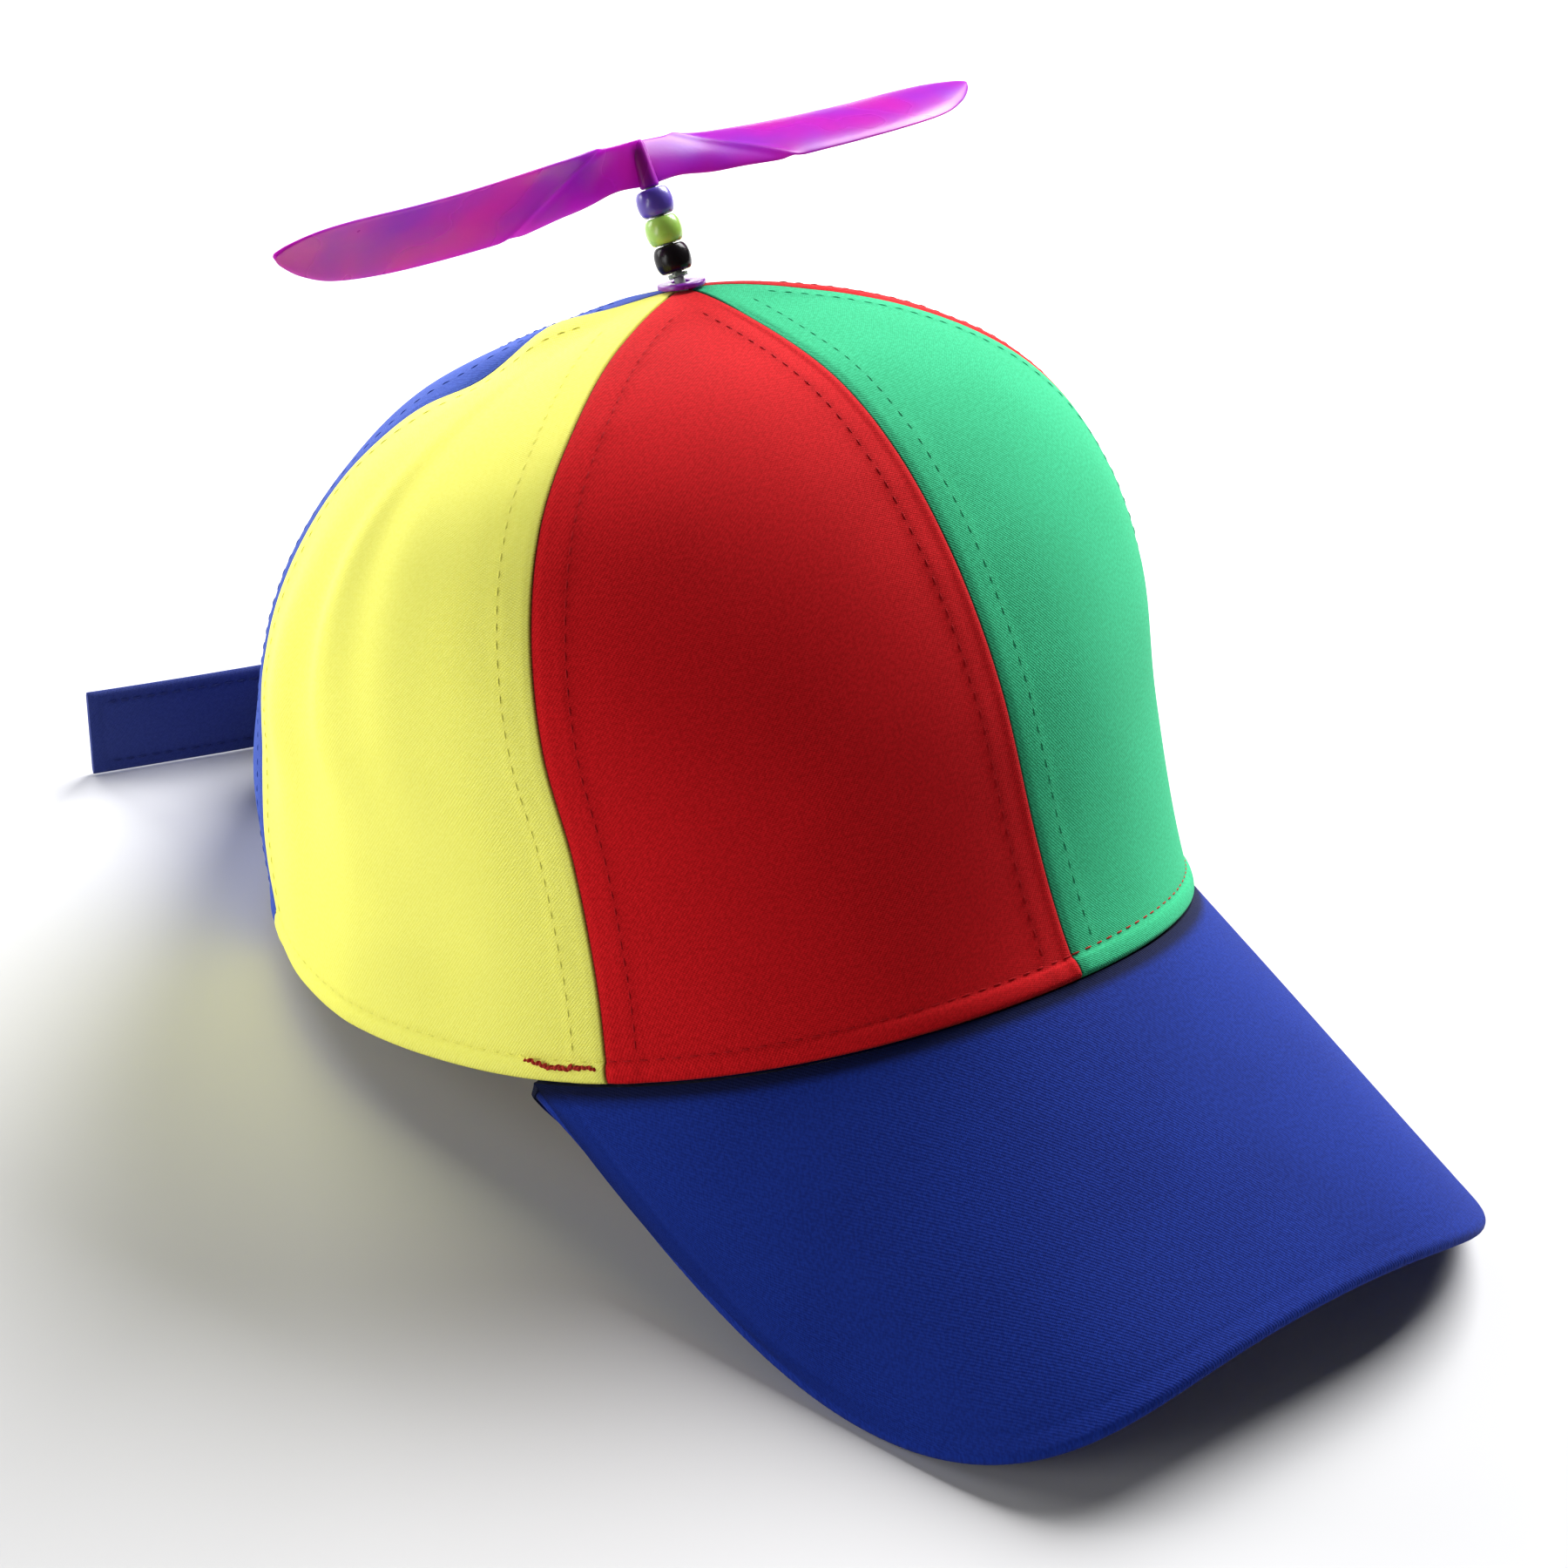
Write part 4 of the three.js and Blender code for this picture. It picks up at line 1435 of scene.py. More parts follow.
    def build(self, shop: Workshop) -> None:
        """Makes the panel and its stitches.

        Args:
            shop: The workshop that makes them.
        """
        plan = self.plan
        grid, outward, azimuths, levels = self.base_grid()
        height, foot, masks = self.relief(grid)
        creased = CROWN.dents(CROWN.creases, azimuths, levels)
        face = REST.lay(grid + outward * (height - creased)[..., None])
        lining = REST.lay(grid - outward * (CROWN.cloth + creased)[..., None])
        cloth_map = self.cloth_map(grid)
        made = shell_object(shop, f"cloth_{plan.node}", face, lining, cloth_map, masks)
        shop.dress(made, plan.finish, CAP_BODY, [plan.node])
        turned = REST.turn(outward)
        seams = [self.stitching.along(*line) for line in self.seam_lines(grid, face, turned)]
        sewn = shop.mesh(f"topstitch_{plan.node}", *gathered(seams))
        shop.dress(sewn, ThreadFinish(plan.thread), CAP_BODY)
        hem = self.stitching.along(*self.hem_line(foot, face, turned))
        sewn = shop.mesh(f"hemstitch_{plan.node}", *hem)
        shop.dress(sewn, ThreadFinish(plan.hem_thread), CAP_BODY)


@dataclass
class ThreadTail:
    """Messy back-tacked end of the hem thread on the wearer's right side panel.

    Lengths are in millimetres.
    """

    start: float = 1.6
    end: float = 15.5
    height: float = 2.7
    climb: float = 0.07
    swing: float = 0.75
    stray: float = 0.5
    wave: float = 0.35
    wave_length: float = 2.1
    lifted: float = 0.55
    overlap: float = 0.56
    stitches: int = 22
    stitching: Stitching = field(
        default_factory=lambda: Stitching(half_width=0.38, proud=0.5)
    )

    def build(self, shop: Workshop) -> None:
        """Makes the zigzag of thread beside the side seam.

        Args:
            shop: The workshop that makes it.
        """
        rng = np.random.default_rng(11)
        seam, step, level, count = CROWN.side_seam, 0.01, 0.3, self.stitches + 1
        reach = np.linalg.norm(CROWN.point(seam + step, level) - CROWN.point(seam, level)) / step
        along = np.linspace(self.start, self.end, count)
        swing = self.swing * np.where(np.arange(count) % 2 == 0, 1.0, -1.0)
        swing = swing * rng.uniform(0.35, 1.0, count) * np.sin(np.linspace(0.5, 2.7, count))
        along = along + rng.uniform(-self.stray, self.stray, count)
        azimuths = seam + along / reach
        wave = self.wave * np.sin(along / self.wave_length)
        rises = self.height + self.climb * along + swing + wave
        levels = np.array([CROWN.level_past_rim(a, r) for a, r in zip(azimuths, rises)])
        outward = CROWN.normal(azimuths, levels)
        points = REST.lay(CROWN.point(azimuths, levels) + outward * self.lifted)
        ways = np.diff(points, axis=0)
        halves = np.linalg.norm(ways, axis=1) * self.overlap
        middles, ups = (points[:-1] + points[1:]) / 2, REST.turn(outward)[:-1]
        body = self.stitching.bodies(middles, unit(ways), ups, halves)
        shop.dress(shop.mesh("thread_tail", *body), ThreadFinish(Thread.RUST), CAP_BODY)


@dataclass
class Peak:
    """Curved peak: cloth over a board, with a rolled edge. Lengths in millimetres."""

    thickness: float = 3.0
    reach: float = 59.4
    half_width: float = 79.0
    end: float = math.radians(66)
    slope_middle: float = math.radians(13.7)
    slope_end: float = math.radians(30)
    droop: float = 26.0
    front_power: float = 2.68
    corner_power: float = 4.9
    side_power: float = 3.56
    gap: float = 0.55
    end_share: float = 0.03
    sewn_in: float = 5.0
    sewn_thickness: float = 1.3
    row_rise: float = 21.0
    clearance: float = 0.35
    columns: int = 170
    rows: int = 54
    row_power: float = 1.35
    roll_rows: int = 9
    roll_from: float = 0.8
    edge_seam: float = 3.4
    edge_pull: float = 0.12
    unevenness: float = 0.3
    uneven_size: float = 46.0

    def point(self, side: np.ndarray, out: np.ndarray) -> np.ndarray:
        """Points of the upper face.

        Args:
            side: Place along the rim, from -1 to 1.
            out: Share of the way from the rim, 0, to the edge, 1.

        Returns:
            Points with x, y and z on the last axis.
        """
        side, out = np.broadcast_arrays(side, out)
        root = CROWN.point(self.end * side, 0.0)
        root_x, root_y = root[..., 0], root[..., 1]
        back = CROWN.point(self.end, 0.0)[1]
        full = 1.0 - np.abs(side) ** self.corner_power
        edge_x = root_x + (-self.half_width * side - root_x) * full ** (1 / self.side_power)
        edge_y = back + (-(CROWN.front + self.reach) - back) * full ** (1 / self.front_power)
        x = root_x + (edge_x - root_x) * out
        y = root_y + (edge_y - root_y) * out
        run = np.hypot(x - root_x, y - root_y)
        slope = self.slope_middle + (self.slope_end - self.slope_middle) * side**2
        drop = self.droop * out * (1.0 - side**2) ** 2
        return np.stack([x, y, root[..., 2] - self.gap - run * np.tan(slope) - drop], axis=-1)

    def build(self, shop: Workshop) -> None:
        """Makes the peak with its rolled edge and its sewn-in strip.

        Args:
            shop: The workshop that makes it.
        """
        spread = (1.0 - self.end_share) * np.linspace(-1.0, 1.0, self.columns + 1)
        side = np.sin(math.pi / 2 * np.sin(math.pi / 2 * spread))[:, None]
        out = (1.0 - (1.0 - np.linspace(0.0, 1.0, self.rows)) ** self.row_power)[None, :]
        half = self.thickness / 2
        grid = self.point(side, out)
        root, edge = grid[:, 0], grid[:, -1]
        normals = grid_normals(grid)
        if normals[self.columns // 2, self.rows // 2, 2] < 0:
            normals = -normals
        outward = unit(np.cross(np.gradient(edge, axis=0), normals[:, -1]))
        if outward[self.columns // 2, 1] > 0:
            outward = -outward
        drawn_in = np.minimum(half, 0.4 * np.linalg.norm(edge - root, axis=1))
        pulled = drawn_in[:, None, None] * smooth_step(out, self.roll_from, 1.0)[..., None]
        top = grid - pulled * outward[:, None, :]
        away, foot = Panel.away_from(edge, grid), Panel.away_from(root, grid)
        relief = self.unevenness * soft_noise(grid, self.uneven_size, 2.2)
        relief = relief * smooth_step(away, 2.0, 14.0) * smooth_step(foot, 1.0, 9.0)
        relief = relief - self.edge_pull * bump(away, self.edge_seam, 0.6)
        upper = top + normals * relief[..., None]
        lower = top - normals * (self.thickness + 0.5 * relief[..., None])
        centre = top[:, -1] - normals[:, -1] * half
        bulge, up = drawn_in[:, None] * outward, half * normals[:, -1]
        turns = np.linspace(math.pi / 2, -math.pi / 2, self.roll_rows + 2)[1:-1]
        roll = np.stack([centre + math.cos(a) * bulge + math.sin(a) * up for a in turns], axis=1)
        middle = self.roll_rows // 2 + 1
        shown, hidden = self.allowance(side[:, 0], normals[:, 0])
        face = np.concatenate([shown, upper, roll[:, :middle]], axis=1)
        under = np.concatenate([hidden, lower, roll[:, : middle - 2 : -1]], axis=1)
        across = run_along(face)
        flat = np.stack([across - across[-1:] / 2, -face[..., 1]], axis=-1) * MM
        foot = Panel.away_from(root, face)
        # Painted shadow on the peak along its root, under the crown's rim.
        masks = {"seam": 1.0 - smooth_step(foot, 1.3, 4.2), "stitch": np.zeros(foot.shape)}
        made = shell_object(shop, "cloth_peak", REST.lay(face), REST.lay(under), flat, masks)
        shop.dress(made, PEAK_BLUE, CAP_BODY, ["peak"])

    def allowance(self, side: np.ndarray, normals: np.ndarray) -> tuple[np.ndarray, np.ndarray]:
        """Both faces of the strip that is sewn up inside the crown.

        Args:
            side: Place of each column along the rim, from -1 to 1.
            normals: Directions away from the peak's upper face at the rim.

        Returns:
            Grids of the strip's shown and hidden points, from its top down to the rim.
        """
        azimuth, inside = self.end * side, CROWN.cloth + self.clearance
        shown, hidden = [], []
        for rise in (self.sewn_in, self.sewn_in / 2, 0.5):
            level = np.full(len(side), rise / self.row_rise)
            point, outward = CROWN.point(azimuth, level), CROWN.normal(azimuth, level)
            shown.append(point - outward * inside)
            hidden.append(point - outward * (inside + self.sewn_thickness))
        root = CROWN.point(azimuth, 0.0) - CROWN.normal(azimuth, 0.0) * inside
        root[:, 2] -= self.gap
        shown.append(root)
        hidden.append(root - normals * self.thickness)
        return np.stack(shown, axis=1), np.stack(hidden, axis=1)


@dataclass
class Strap:
    """Flat folded strap at the back opening, sewn on the wearer's left, free past the right.

    Lengths are in millimetres.
    """

    width: float = 18.0
    thickness: float = 1.6
    overlap: float = 14.0
    length: float = 115.0
    splay: float = math.radians(15.5)
    upright: float = 0.45
    gap: float = 0.5
    sewn_steps: int = 10
    free_steps: int = 84
    curve_steps: int = 400
    rows: int = 22
    edge: float = 0.8
    stitch_in: float = 2.2
    stitch_width: float = 0.6
    pulled_in: float = 0.16
    wave: float = 0.25
    wave_size: float = 26.0
    stitching: Stitching = field(
        default_factory=lambda: Stitching(pitch=2.8, length=2.0, half_width=0.24, proud=0.26)
    )

    def lines(self) -> np.ndarray:
        """Middle surface of the strap.

        Returns:
            One column of points for each place along it, in the cap frame.
        """
        corner, step = -CROWN.rim_azimuth(CROWN.opening_half_width), 0.01
        moved = CROWN.point(corner + step, 0.0) - CROWN.point(corner - step, 0.0)
        turn = self.overlap / (np.linalg.norm(moved) / (2 * step))
        off = self.gap + self.thickness / 2
        rises = self.width * np.arange(self.rows + 1) / self.rows
        sewn = []
        for i in range(self.sewn_steps + 1):
            azimuth = corner + turn * (1 - i / self.sewn_steps)
            levels = np.array([CROWN.level_past_rim(azimuth, r) for r in rises])
            azimuths = np.full(len(levels), azimuth)
            sewn.append(CROWN.point(azimuths, levels) + CROWN.normal(azimuths, levels) * off)
        last = sewn[-1]
        start = last[0]
        rim_way = (start - sewn[-2][0]) * np.array([1, 1, 0])
        rim_way = rim_way / np.linalg.norm(rim_way)
        free_way = np.array([-math.cos(self.splay), math.sin(self.splay), 0.0])
        free = self.length - self.overlap
        end = start + free_way * free
        pins = [start, start + rim_way * free / 6, end - free_way * free / 2, end]
        t = np.linspace(0.0, 1.0, self.curve_steps)[:, None]
        weights = ((1 - t) ** 3, 3 * t * (1 - t) ** 2, 3 * t * t * (1 - t), t**3)
        curve = sum(weight * pin for weight, pin in zip(weights, pins))
        at = run_along(curve)
        straight = np.outer(rises, [0, 0, 1.0])
        loose = []
        for i in range(1, self.free_steps + 1):
            share = i / self.free_steps
            blend = float(smooth_step(share, 0.0, self.upright))
            foot = read_line(curve, at, share * at[-1])
            loose.append((last - start) * (1 - blend) + straight * blend + foot)
        return np.array(sewn + loose)

    def build(self, shop: Workshop) -> None:
        """Makes the strap and its edge stitches.

        Args:
            shop: The workshop that makes them.
        """
        placed = REST.place(self.lines())
        shares = (np.arange(len(placed)) - self.sewn_steps) / self.free_steps
        lift = smooth_step(shares, 0.0, self.upright) * np.maximum(0.0, -placed[:, 0, 2])
        placed[..., 2] += lift[:, None]
        normals = grid_normals(placed)
        along = run_along(placed[:, 0])
        across = np.linspace(0.0, self.width, self.rows + 1)
        rim = np.minimum(across, self.width - across)[None, :]
        ends = np.minimum(along, along[-1] - along)[:, None]
        near = np.clip(np.minimum(rim, ends + 0.25) / self.edge, 0.0, 1.0)
        half = self.thickness / 2 * (0.25 + 0.75 * np.sqrt(1.0 - (1.0 - near) ** 2))
        sewn = bump(np.minimum(rim, np.maximum(ends, 0)), self.stitch_in, self.stitch_width)
        wave = self.wave * soft_noise(placed, self.wave_size, 4.4)
        faces = []
        for sign in (1.0, -1.0):
            offset = sign * (half - self.pulled_in * sewn) + wave
            face = placed + normals * offset[..., None]
            face[..., 2] = np.maximum(face[..., 2], 0.0)
            faces.append(face * MM)
        flat = np.stack(np.broadcast_arrays(along[:, None], across[None, :]), axis=-1) * MM
        # No painted shade at the seams here, only faint painted shade along the stitch lines.
        masks = {"seam": np.zeros(half.shape), "stitch": sewn}
        made = shell_object(shop, "cloth_strap", *faces, flat, masks)
        shop.dress(made, NAVY, CAP_BODY, ["strap"])
        row = int(round(self.stitch_in / self.width * self.rows))
        parts = [
            self.stitching.along(face[3:-3, at], sign * normals[3:-3, at])
            for face, sign in zip(faces, (1.0, -1.0))
            for at in (row, self.rows - row)
        ]
        sewn = shop.mesh("topstitch_strap", *gathered(parts))
        shop.dress(sewn, ThreadFinish(Thread.NAVY), CAP_BODY)


@dataclass
class Spindle:
    """Washer, neck and beads on the post over the crown's top. Lengths in millimetres."""

    lean: float = math.radians(26)
    seam_gap: float = 0.3
    running_gap: float = 0.35
    post_radius: float = 1.0
    washer_radius: float = 4.6
    washer_height: float = 1.0
    washer_soft: float = 0.3
    neck_radius: float = 1.9
    neck_height: float = 0.8
    neck_soft: float = 0.2
    bead_radius: float = 3.45
    bead_end_radius: float = 2.3
    bead_height: float = 5.1
    bead_swell: float = 0.9
    bead_mouth: float = 0.5
    sides: int = 56

    @property
    def bore(self) -> float:
        """Radius of the hole round the post."""
        return self.post_radius + self.running_gap

    @property
    def neck_foot(self) -> float:
        """Height of the neck's foot along the post, over the washer that leans less.

        Returns:
            The height.
        """
        difference = self.lean - math.atan(CROWN.top_lean)
        over = (self.washer_height + 2 * self.seam_gap) / math.cos(difference)
        return over + self.neck_radius * math.tan(difference)

    def bead_foot(self, index: int) -> float:
        """Height of a bead's foot along the post."""
        first = self.neck_foot + self.neck_height + self.seam_gap
        return first + index * (self.bead_height + self.seam_gap)

    @property
    def hub_foot(self) -> float:
        """Height of the propeller's hub along the post."""
        return self.bead_foot(2) + self.bead_height + self.running_gap

    @staticmethod
    def matrix(lean: float, height: float) -> Matrix:
        """Place of a ring on a stack that leans back from the crown's top.

        Args:
            lean: How far the stack leans, in radians.
            height: Height of the ring along the stack in millimetres.

        Returns:
            Its place in the row frame, in millimetres.
        """
        apex = Vector(REST.place(CROWN.point(0.0, float(CROWN.top))))
        turned = Matrix.Translation(apex) @ Matrix.Rotation(-(REST.tilt + lean), 4, "X")
        return turned @ Matrix.Translation((0, 0, height))

    def turned(
        self, name: str, profile: Section, place: Matrix, shop: Workshop
    ) -> bpy.types.Object:
        """A ring turned round the post from a closed profile.

        Args:
            name: Its name.
            profile: Radius and height pairs, going round the section.
            place: Where the ring's own origin stands, in millimetres.
            shop: The workshop that makes it.

        Returns:
            The object.
        """
        section = np.array(profile)
        angle = np.linspace(0.0, math.tau, self.sides, endpoint=False)
        x, y = np.outer(np.cos(angle), section[:, 0]), np.outer(np.sin(angle), section[:, 0])
        ring = np.stack([x, y, np.broadcast_to(section[:, 1], x.shape)], axis=-1)
        points = ring.reshape(-1, 3) @ np.array(place.to_3x3()).T + np.array(place.translation)
        ids = np.arange(x.size).reshape(x.shape)
        beside, over = np.roll(ids, -1, axis=0), np.roll(ids, -1, axis=1)
        faces = np.stack([ids, beside, np.roll(beside, -1, axis=1), over], axis=-1)
        faces = facing_out(points, faces.reshape(-1, 4))
        return shop.mesh(name, points * MM, faces, sharp=70.0)

    @staticmethod
    def rounded(low: float, high: float, top: float, soft: float) -> Section:
        """A rectangular section with rounded corners.

        Args:
            low: Smaller radius.
            high: Larger radius.
            top: Height of its top over its foot.
            soft: Radius of its corners.

        Returns:
            Radius and height pairs, going round it.
        """
        inner, outer = low + soft, high - soft
        corners = ((outer, soft, -90), (outer, top - soft, 0))
        corners += ((inner, top - soft, 90), (inner, soft, 180))
        return [
            (x + soft * math.cos(angle), z + soft * math.sin(angle))
            for x, z, start in corners
            for angle in np.radians(np.linspace(start, start + 90, 6))
        ]

    def bead_profile(self) -> Section:
        """Section of a barrel bead: bulged outside, with a rounded mouth to its bore.

        Returns:
            Radius and height pairs, going round it.
        """
        half, mouth = self.bead_height / 2, self.bead_mouth
        bulge = self.bead_radius - self.bead_end_radius
        profile = []
        for angle in np.radians(np.linspace(-90, 90, 27)):
            swell = max(0.0, math.cos(angle)) ** self.bead_swell
            radius = self.bead_end_radius + bulge * swell
            profile.append((radius, half * (1 + math.sin(angle))))
        upper, lower = np.linspace(90, 180, 6)[1:], np.linspace(180, 270, 6)[:-1]
        for angles, z in ((upper, self.bead_height - mouth), (lower, mouth)):
            for angle in np.radians(angles):
                radius = self.bore + mouth + mouth * math.cos(angle)
                profile.append((radius, z + mouth * math.sin(angle)))
        return profile

    def build(self, shop: Workshop) -> None:
        """Makes the washer, the neck and the beads.

        Args:
            shop: The workshop that makes them.
        """
        seat = self.matrix(math.atan(CROWN.top_lean), self.seam_gap)
        washer_bore = self.bore + self.running_gap
        washer = self.rounded(
            washer_bore, self.washer_radius, self.washer_height, self.washer_soft
        )
        neck = self.rounded(self.bore, self.neck_radius, self.neck_height, self.neck_soft)
        rings = [
            ("washer_disc", washer, seat, WASHER, "washer"),
            ("neck_collar", neck, self.matrix(self.lean, self.neck_foot), NECK, "neck"),
        ]
        beads = (("bead_black", BLACK), ("bead_lime", LIME), ("bead_violet", VIOLET))
        for index, (node, finish) in enumerate(beads):
            place = self.matrix(self.lean, self.bead_foot(index))
            rings.append((f"barrel_{node}", self.bead_profile(), place, finish, node))
        for name, profile, place, finish, node in rings:
            shop.dress(self.turned(name, profile, place, shop), finish, CAP_BODY, [node])


@dataclass
class Propeller:
    """Two twisted blades on a hub. Lengths in millimetres, pitch in degrees."""

    spindle: Spindle
    hub_radius: float = 2.0
    hub_top_radius: float = 1.62
    hub_height: float = 8.8
    hub_roof: float = 1.4
    hub_squareness: float = 0.08
    blade_line: float = 4.2
    length: float = 84.0
    chord: float = 19.0
    thickness: float = 1.0
    camber: float = 1.2
    root: float = -0.4
    crease: float = 0.45
    crease_at: float = 0.32
    crease_slant: float = 0.2
    crease_width: float = 0.016
    tip_share: float = 0.12
    outs: Values = (0.0, 0.1, 0.2, 0.33, 0.5, 0.65, 0.8, 0.9, 0.97, 1.0)
    uppers: Values = (0.26, 0.26, 0.33, 0.35, 0.3, 0.28, 0.27, 0.23, 0.14, 0.04)
    lowers: Values = (0.2, 0.2, 0.39, 0.64, 0.72, 0.72, 0.58, 0.37, 0.14, -0.01)
    pitches: Values = (78, 70, 42, 31, 28, 27, 29, 30, 30, 30)
    steps: int = 110
    columns: int = 26
    hub_sides: int = 48
    sharp: float = 38.0

    def read(self, column: Values, at: np.ndarray) -> np.ndarray:
        """Value of one column of the sections at a row number."""
        return through_rows(column, 2 * column[0] - column[1], 2 * column[-1] - column[-2], at)

    def blade(self) -> tuple[np.ndarray, list[list[int]]]:
        """One blade along +X, with rounded edges.

        Returns:
            Its points and faces.
        """
        share = (0.5 - 0.5 * np.cos(np.linspace(0.0, math.pi, self.columns + 1)))[:, None]
        last = len(self.outs) - 1.0
        at = np.linspace(0.0, last, self.steps + 1)
        reach = np.concatenate([[self.root], self.length * self.read(self.outs, at)])[None, :]
        at = np.concatenate([[0.0], at])[None, :]
        upper = self.chord * self.read(self.uppers, at)
        lower = -self.chord * self.read(self.lowers, at)
        chord = lower + (upper - lower) * share
        width = (upper - lower) / self.chord
        thin = np.sqrt(np.clip(1.0 - (2 * share - 1) ** 6, 0.0, 1.0)) * 0.85 + 0.15
        tip = np.sqrt(np.clip((last - at) / self.tip_share, 0.0, 1.0)) * 0.8 + 0.2
        pitch = np.radians(self.read(self.pitches, at))
        creased = reach / self.length - self.crease_at + self.crease_slant * share
        crease = self.crease * np.exp(-((creased / self.crease_width) ** 2))
        bowed = self.camber * width * (1 - (2 * share - 1) ** 2)
        faces = []
        for sign in (1.0, -1.0):
            proud = bowed + sign * self.thickness / 2 * thin * tip + crease
            x = np.broadcast_to(reach, chord.shape)
            y = chord * np.cos(pitch) - proud * np.sin(pitch)
            z = chord * np.sin(pitch) + proud * np.cos(pitch) + self.blade_line
            faces.append(np.stack([x, y, z], axis=-1))
        points = np.concatenate([f.reshape(-1, 3) for f in faces])
        return points, facing_out(points, shell_faces(*chord.shape))

    def stem(self, section: Section, squareness: float) -> tuple[np.ndarray, list[list[int]]]:
        """A solid turned round the spindle.

        Args:
            section: Radius and height pairs from the top of the axis down to its foot.
            squareness: Share by which the sides between four ridges are drawn in.

        Returns:
            Its points and faces.
        """
        angle = np.linspace(0.0, math.tau, self.hub_sides, endpoint=False)
        drawn = 1.0 - squareness * (0.5 - 0.5 * np.cos(4 * angle))
        points = [(0.0, 0.0, section[0][1])]
        for radius, height in section:
            around = zip(radius * drawn * np.cos(angle), radius * drawn * np.sin(angle))
            points += [(x, y, height) for x, y in around]
        points.append((0.0, 0.0, section[-1][1]))
        faces, last = [], 1 + (len(section) - 1) * self.hub_sides
        for k in range(self.hub_sides):
            n = (k + 1) % self.hub_sides
            faces.append([0, 1 + k, 1 + n])
            for a in range(1, last, self.hub_sides):
                b = a + self.hub_sides
                faces.append([a + k, b + k, b + n, a + n])
            faces.append([last + k, len(points) - 1, last + n])
        points = np.array(points)
        return points, facing_out(points, faces)

    def build(self, shop: Workshop) -> None:
        """Joins both blades and the hub into one moulding and bores it from below.

        Args:
            shop: The workshop that makes it.
        """
        place = self.spindle.matrix(self.spindle.lean, self.spindle.hub_foot)
        turn, shift = np.array(place.to_3x3()), np.array(place.translation)
        radius, slim, top = self.hub_radius, self.hub_top_radius, self.hub_height
        hub = [(slim - 0.6, top), (slim - 0.15, top - 0.2), (slim, top - 0.6)]
        hub += [(radius, 0.3), (radius - 0.25, 0.0)]
        hole = [(self.spindle.bore, top - self.hub_roof), (self.spindle.bore, -1.0)]
        points, faces = self.blade()
        shapes = [
            self.stem(hub, self.hub_squareness),
            (points, faces),
            (points * np.array([-1.0, -1.0, 1.0]), faces),
            self.stem(hole, 0.0),
        ]
        parts = [
            shop.mesh(f"moulding_{k}", (p @ turn.T + shift) * MM, f)
            for k, (p, f) in enumerate(shapes)
        ]
        for part, operation in zip(parts[1:], ("UNION", "UNION", "DIFFERENCE")):
            join = parts[0].modifiers.new("join", "BOOLEAN")
            join.operation, join.solver, join.object = operation, "EXACT", part
        bpy.context.view_layer.update()
        joined = parts[0].evaluated_get(bpy.context.evaluated_depsgraph_get())
        data = bpy.data.meshes.new_from_object(joined)
        for part in parts:
            bpy.data.objects.remove(part)
        made = shop.show("moulded_propeller", data, self.sharp)
        shop.dress(made, PROPELLER, SPIN_BODY, ["propeller"])
        LOG.info("propeller: %.1f mm across", made.dimensions.length / MM)


@dataclass(frozen=True)
class Viewpoint:
    """Camera at the photograph's angle to the cap. Distances in millimetres in the cap frame."""

    azimuth: float = math.radians(-41.78)
    elevation: float = math.radians(24.2)
    roll: float = math.radians(0.68)
    distance: float = 797.8
    lens: float = 95.76
    sensor: float = 36.0
    aim_right: float = 17.8
    aim_up: float = -39.88
    aim_height: float = 66.6

    def build(self) -> None:
        """Makes the camera and sets it as the scene's."""
        level, rise = math.cos(self.elevation), math.sin(self.elevation)
        ahead, beside = math.cos(self.azimuth) * level, math.sin(self.azimuth) * level
        back = np.array([beside, -ahead, rise])
        right = unit(np.cross([0.0, 0.0, 1.0], back))
        up = np.cross(back, right)
        aim = np.array([0.0, 0.0, self.aim_height]) + self.aim_right * right + self.aim_up * up
        position = REST.place(aim + self.distance * back) * MM
        cos, sin = math.cos(self.roll), math.sin(self.roll)
        axes = [REST.turn(a) for a in (cos * right - sin * up, sin * right + cos * up, back)]
        data = bpy.data.cameras.new("camera")
        data.sensor_width, data.lens = self.sensor, self.lens
        data.clip_start, data.clip_end = 0.05, 60.0
        camera = bpy.data.objects.new("camera", data)
        bpy.context.scene.collection.objects.link(camera)
        turned = Matrix(axes).transposed().to_4x4()
        camera.matrix_world = Matrix.Translation(Vector(position)) @ turned
        bpy.context.scene.camera = camera


@dataclass(frozen=True)
class Softbox:
    """One square studio light, aimed at a point. Metres and watts."""

    name: str
    place: tuple[float, float, float]
    aim: tuple[float, float, float]
    size: float
    power: float

    def build(self) -> None:
        """Makes the light."""
        data = bpy.data.lights.new(self.name, "AREA")
        data.shape, data.size, data.energy = "SQUARE", self.size, self.power
        lamp = bpy.data.objects.new(self.name, data)
        bpy.context.scene.collection.objects.link(lamp)
        lamp.visible_camera = False
        lamp.location = self.place
        lamp.rotation_mode = "QUATERNION"
        way = Vector(self.aim) - Vector(self.place)
        lamp.rotation_quaternion = way.to_track_quat("-Z", "Y")


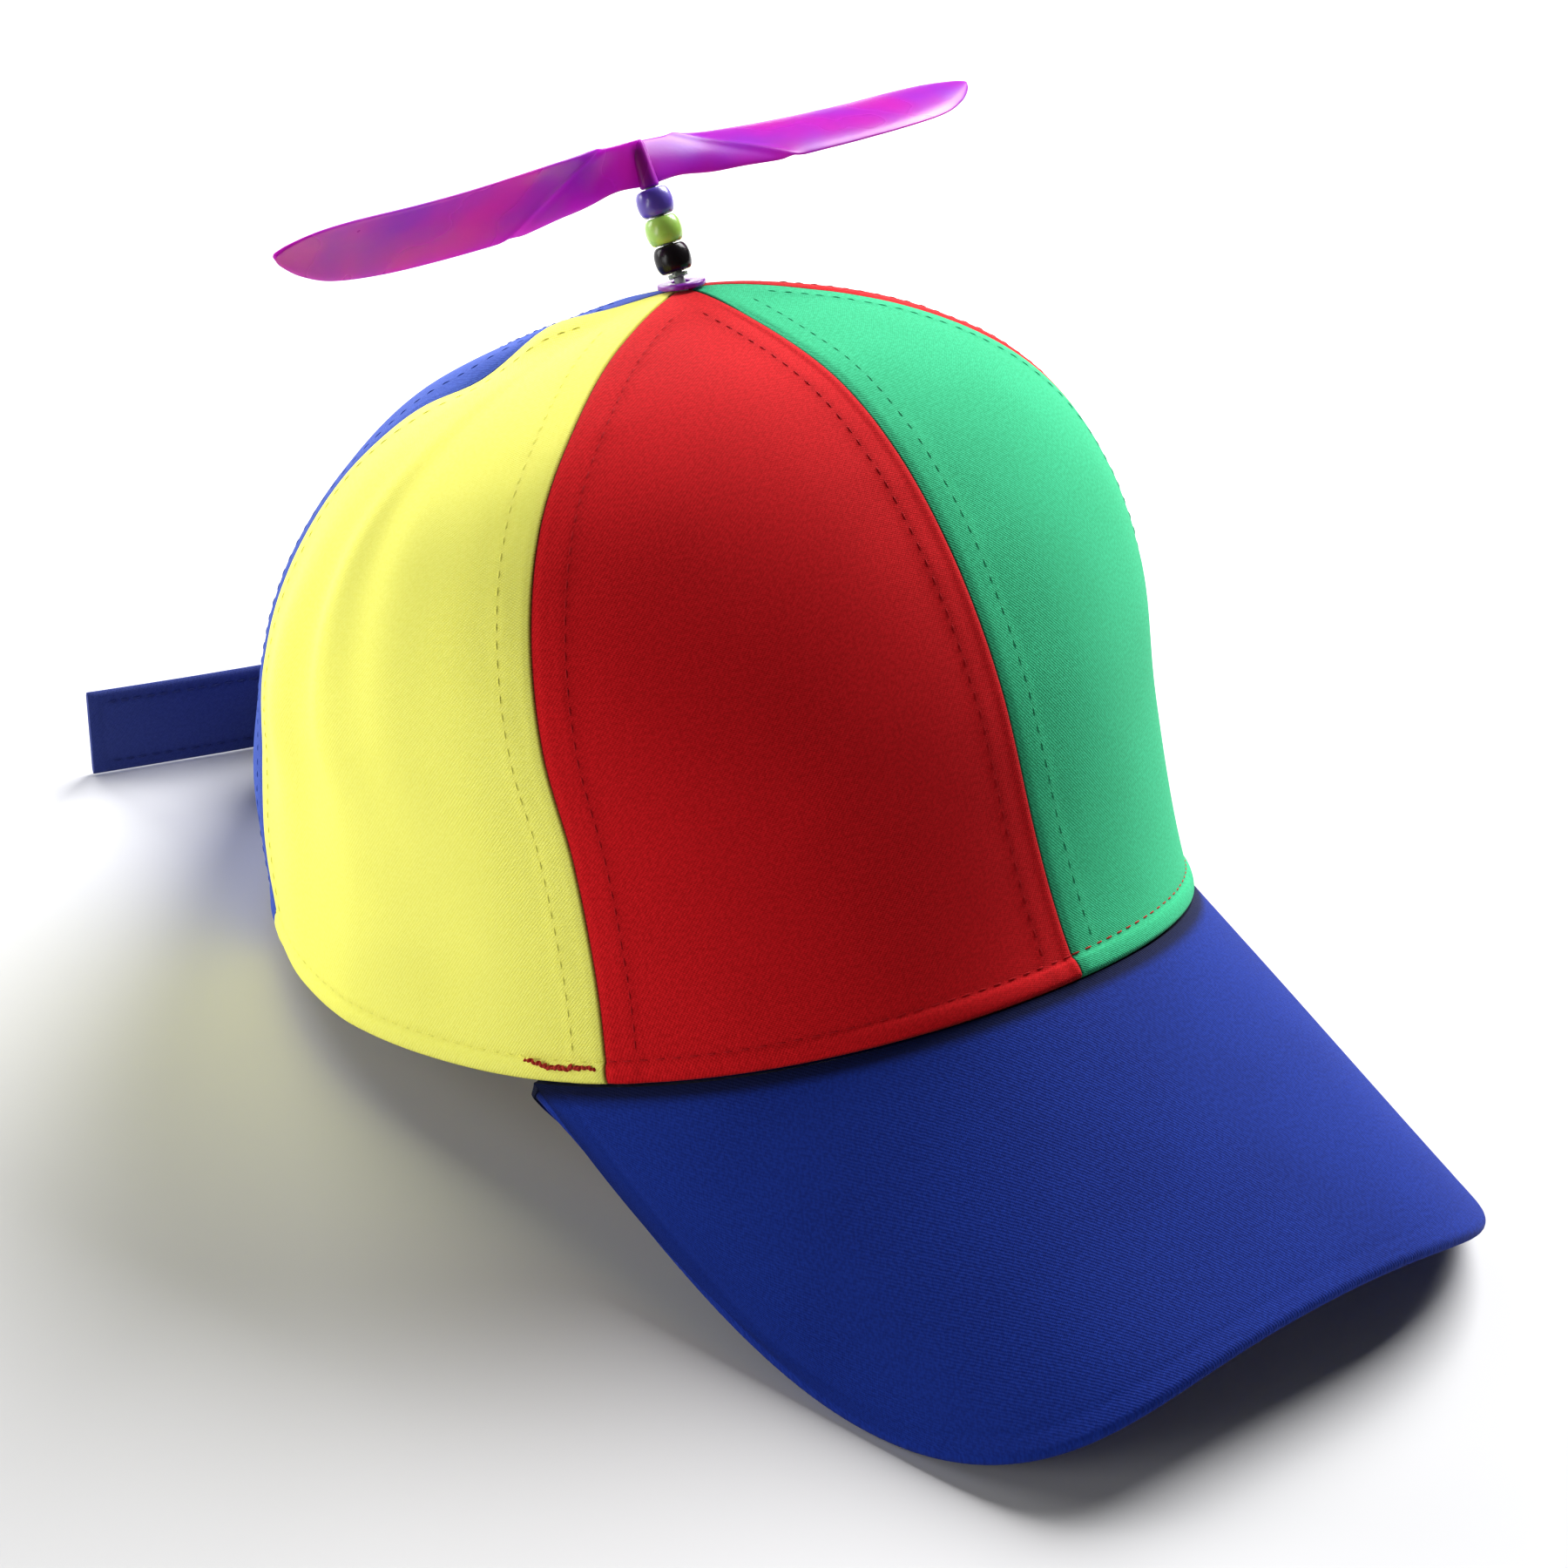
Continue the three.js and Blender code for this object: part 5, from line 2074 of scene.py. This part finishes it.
@dataclass(frozen=True)
class Studio:
    """Pale floor, pale surroundings and soft lights. Metres."""

    floor_size: float = 40.0
    floor_drop: float = 0.3 * MM
    floor_colour: Colour = (0.68, 0.68, 0.69)
    world_strength: float = 0.05
    softboxes: tuple[Softbox, ...] = (
        Softbox("key", (1.14, 0.35, 1.04), (0.0, 0.0, 0.05), 1.0, 60.0),
        Softbox("rear", (0.22, 1.4, 0.56), (0.0, 0.0, 0.05), 0.8, 17.0),
        Softbox("right_rear", (-0.9, 1.19, 0.3), (-0.03, 0.03, 0.07), 0.7, 11.0),
        Softbox("right", (-1.46, 0.2, 0.35), (-0.03, 0.0, 0.07), 0.7, 9.0),
    )

    def build(self, shop: Workshop) -> None:
        """Makes the floor, the surroundings and the lights.

        Args:
            shop: The workshop that makes the floor's mesh.
        """
        half, low = self.floor_size / 2, -self.floor_drop
        corners = [(x * half, y * half, low) for x, y in ((-1, -1), (1, -1), (1, 1), (-1, 1))]
        floor = shop.mesh("floor", np.array(corners), [[0, 1, 2, 3]])
        material, w, shader = start_material("floor_paint")
        paint = {"Base Color": (*self.floor_colour, 1.0), "Roughness": 0.9}
        w.fill(shader, {**paint, "Specular IOR Level": 0.1})
        floor.data.materials.append(material)
        world = bpy.context.scene.world or bpy.data.worlds.new("studio")
        bpy.context.scene.world = world
        world.use_nodes = True
        backdrop = world.node_tree.nodes["Background"]
        backdrop.inputs["Color"].default_value = (1.0, 1.0, 1.0, 1.0)
        backdrop.inputs["Strength"].default_value = self.world_strength
        for softbox in self.softboxes:
            softbox.build()
        bpy.context.scene.view_settings.view_transform = "Standard"


def main() -> None:
    """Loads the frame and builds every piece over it."""
    logging.basicConfig(level=logging.INFO, format="%(message)s", force=True)
    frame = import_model()
    shop = Workshop()
    Viewpoint().build()
    for plan in PANELS:
        Panel(plan).build(shop)
    ThreadTail().build(shop)
    Peak().build(shop)
    Strap().build(shop)
    spindle = Spindle()
    spindle.build(shop)
    Propeller(spindle).build(shop)
    post = frame["nodes"]["post"]
    post.data.materials.clear()
    post.data.materials.append(shop.material(POST))
    Studio().build(shop)


if __name__ == "__main__":
    main()
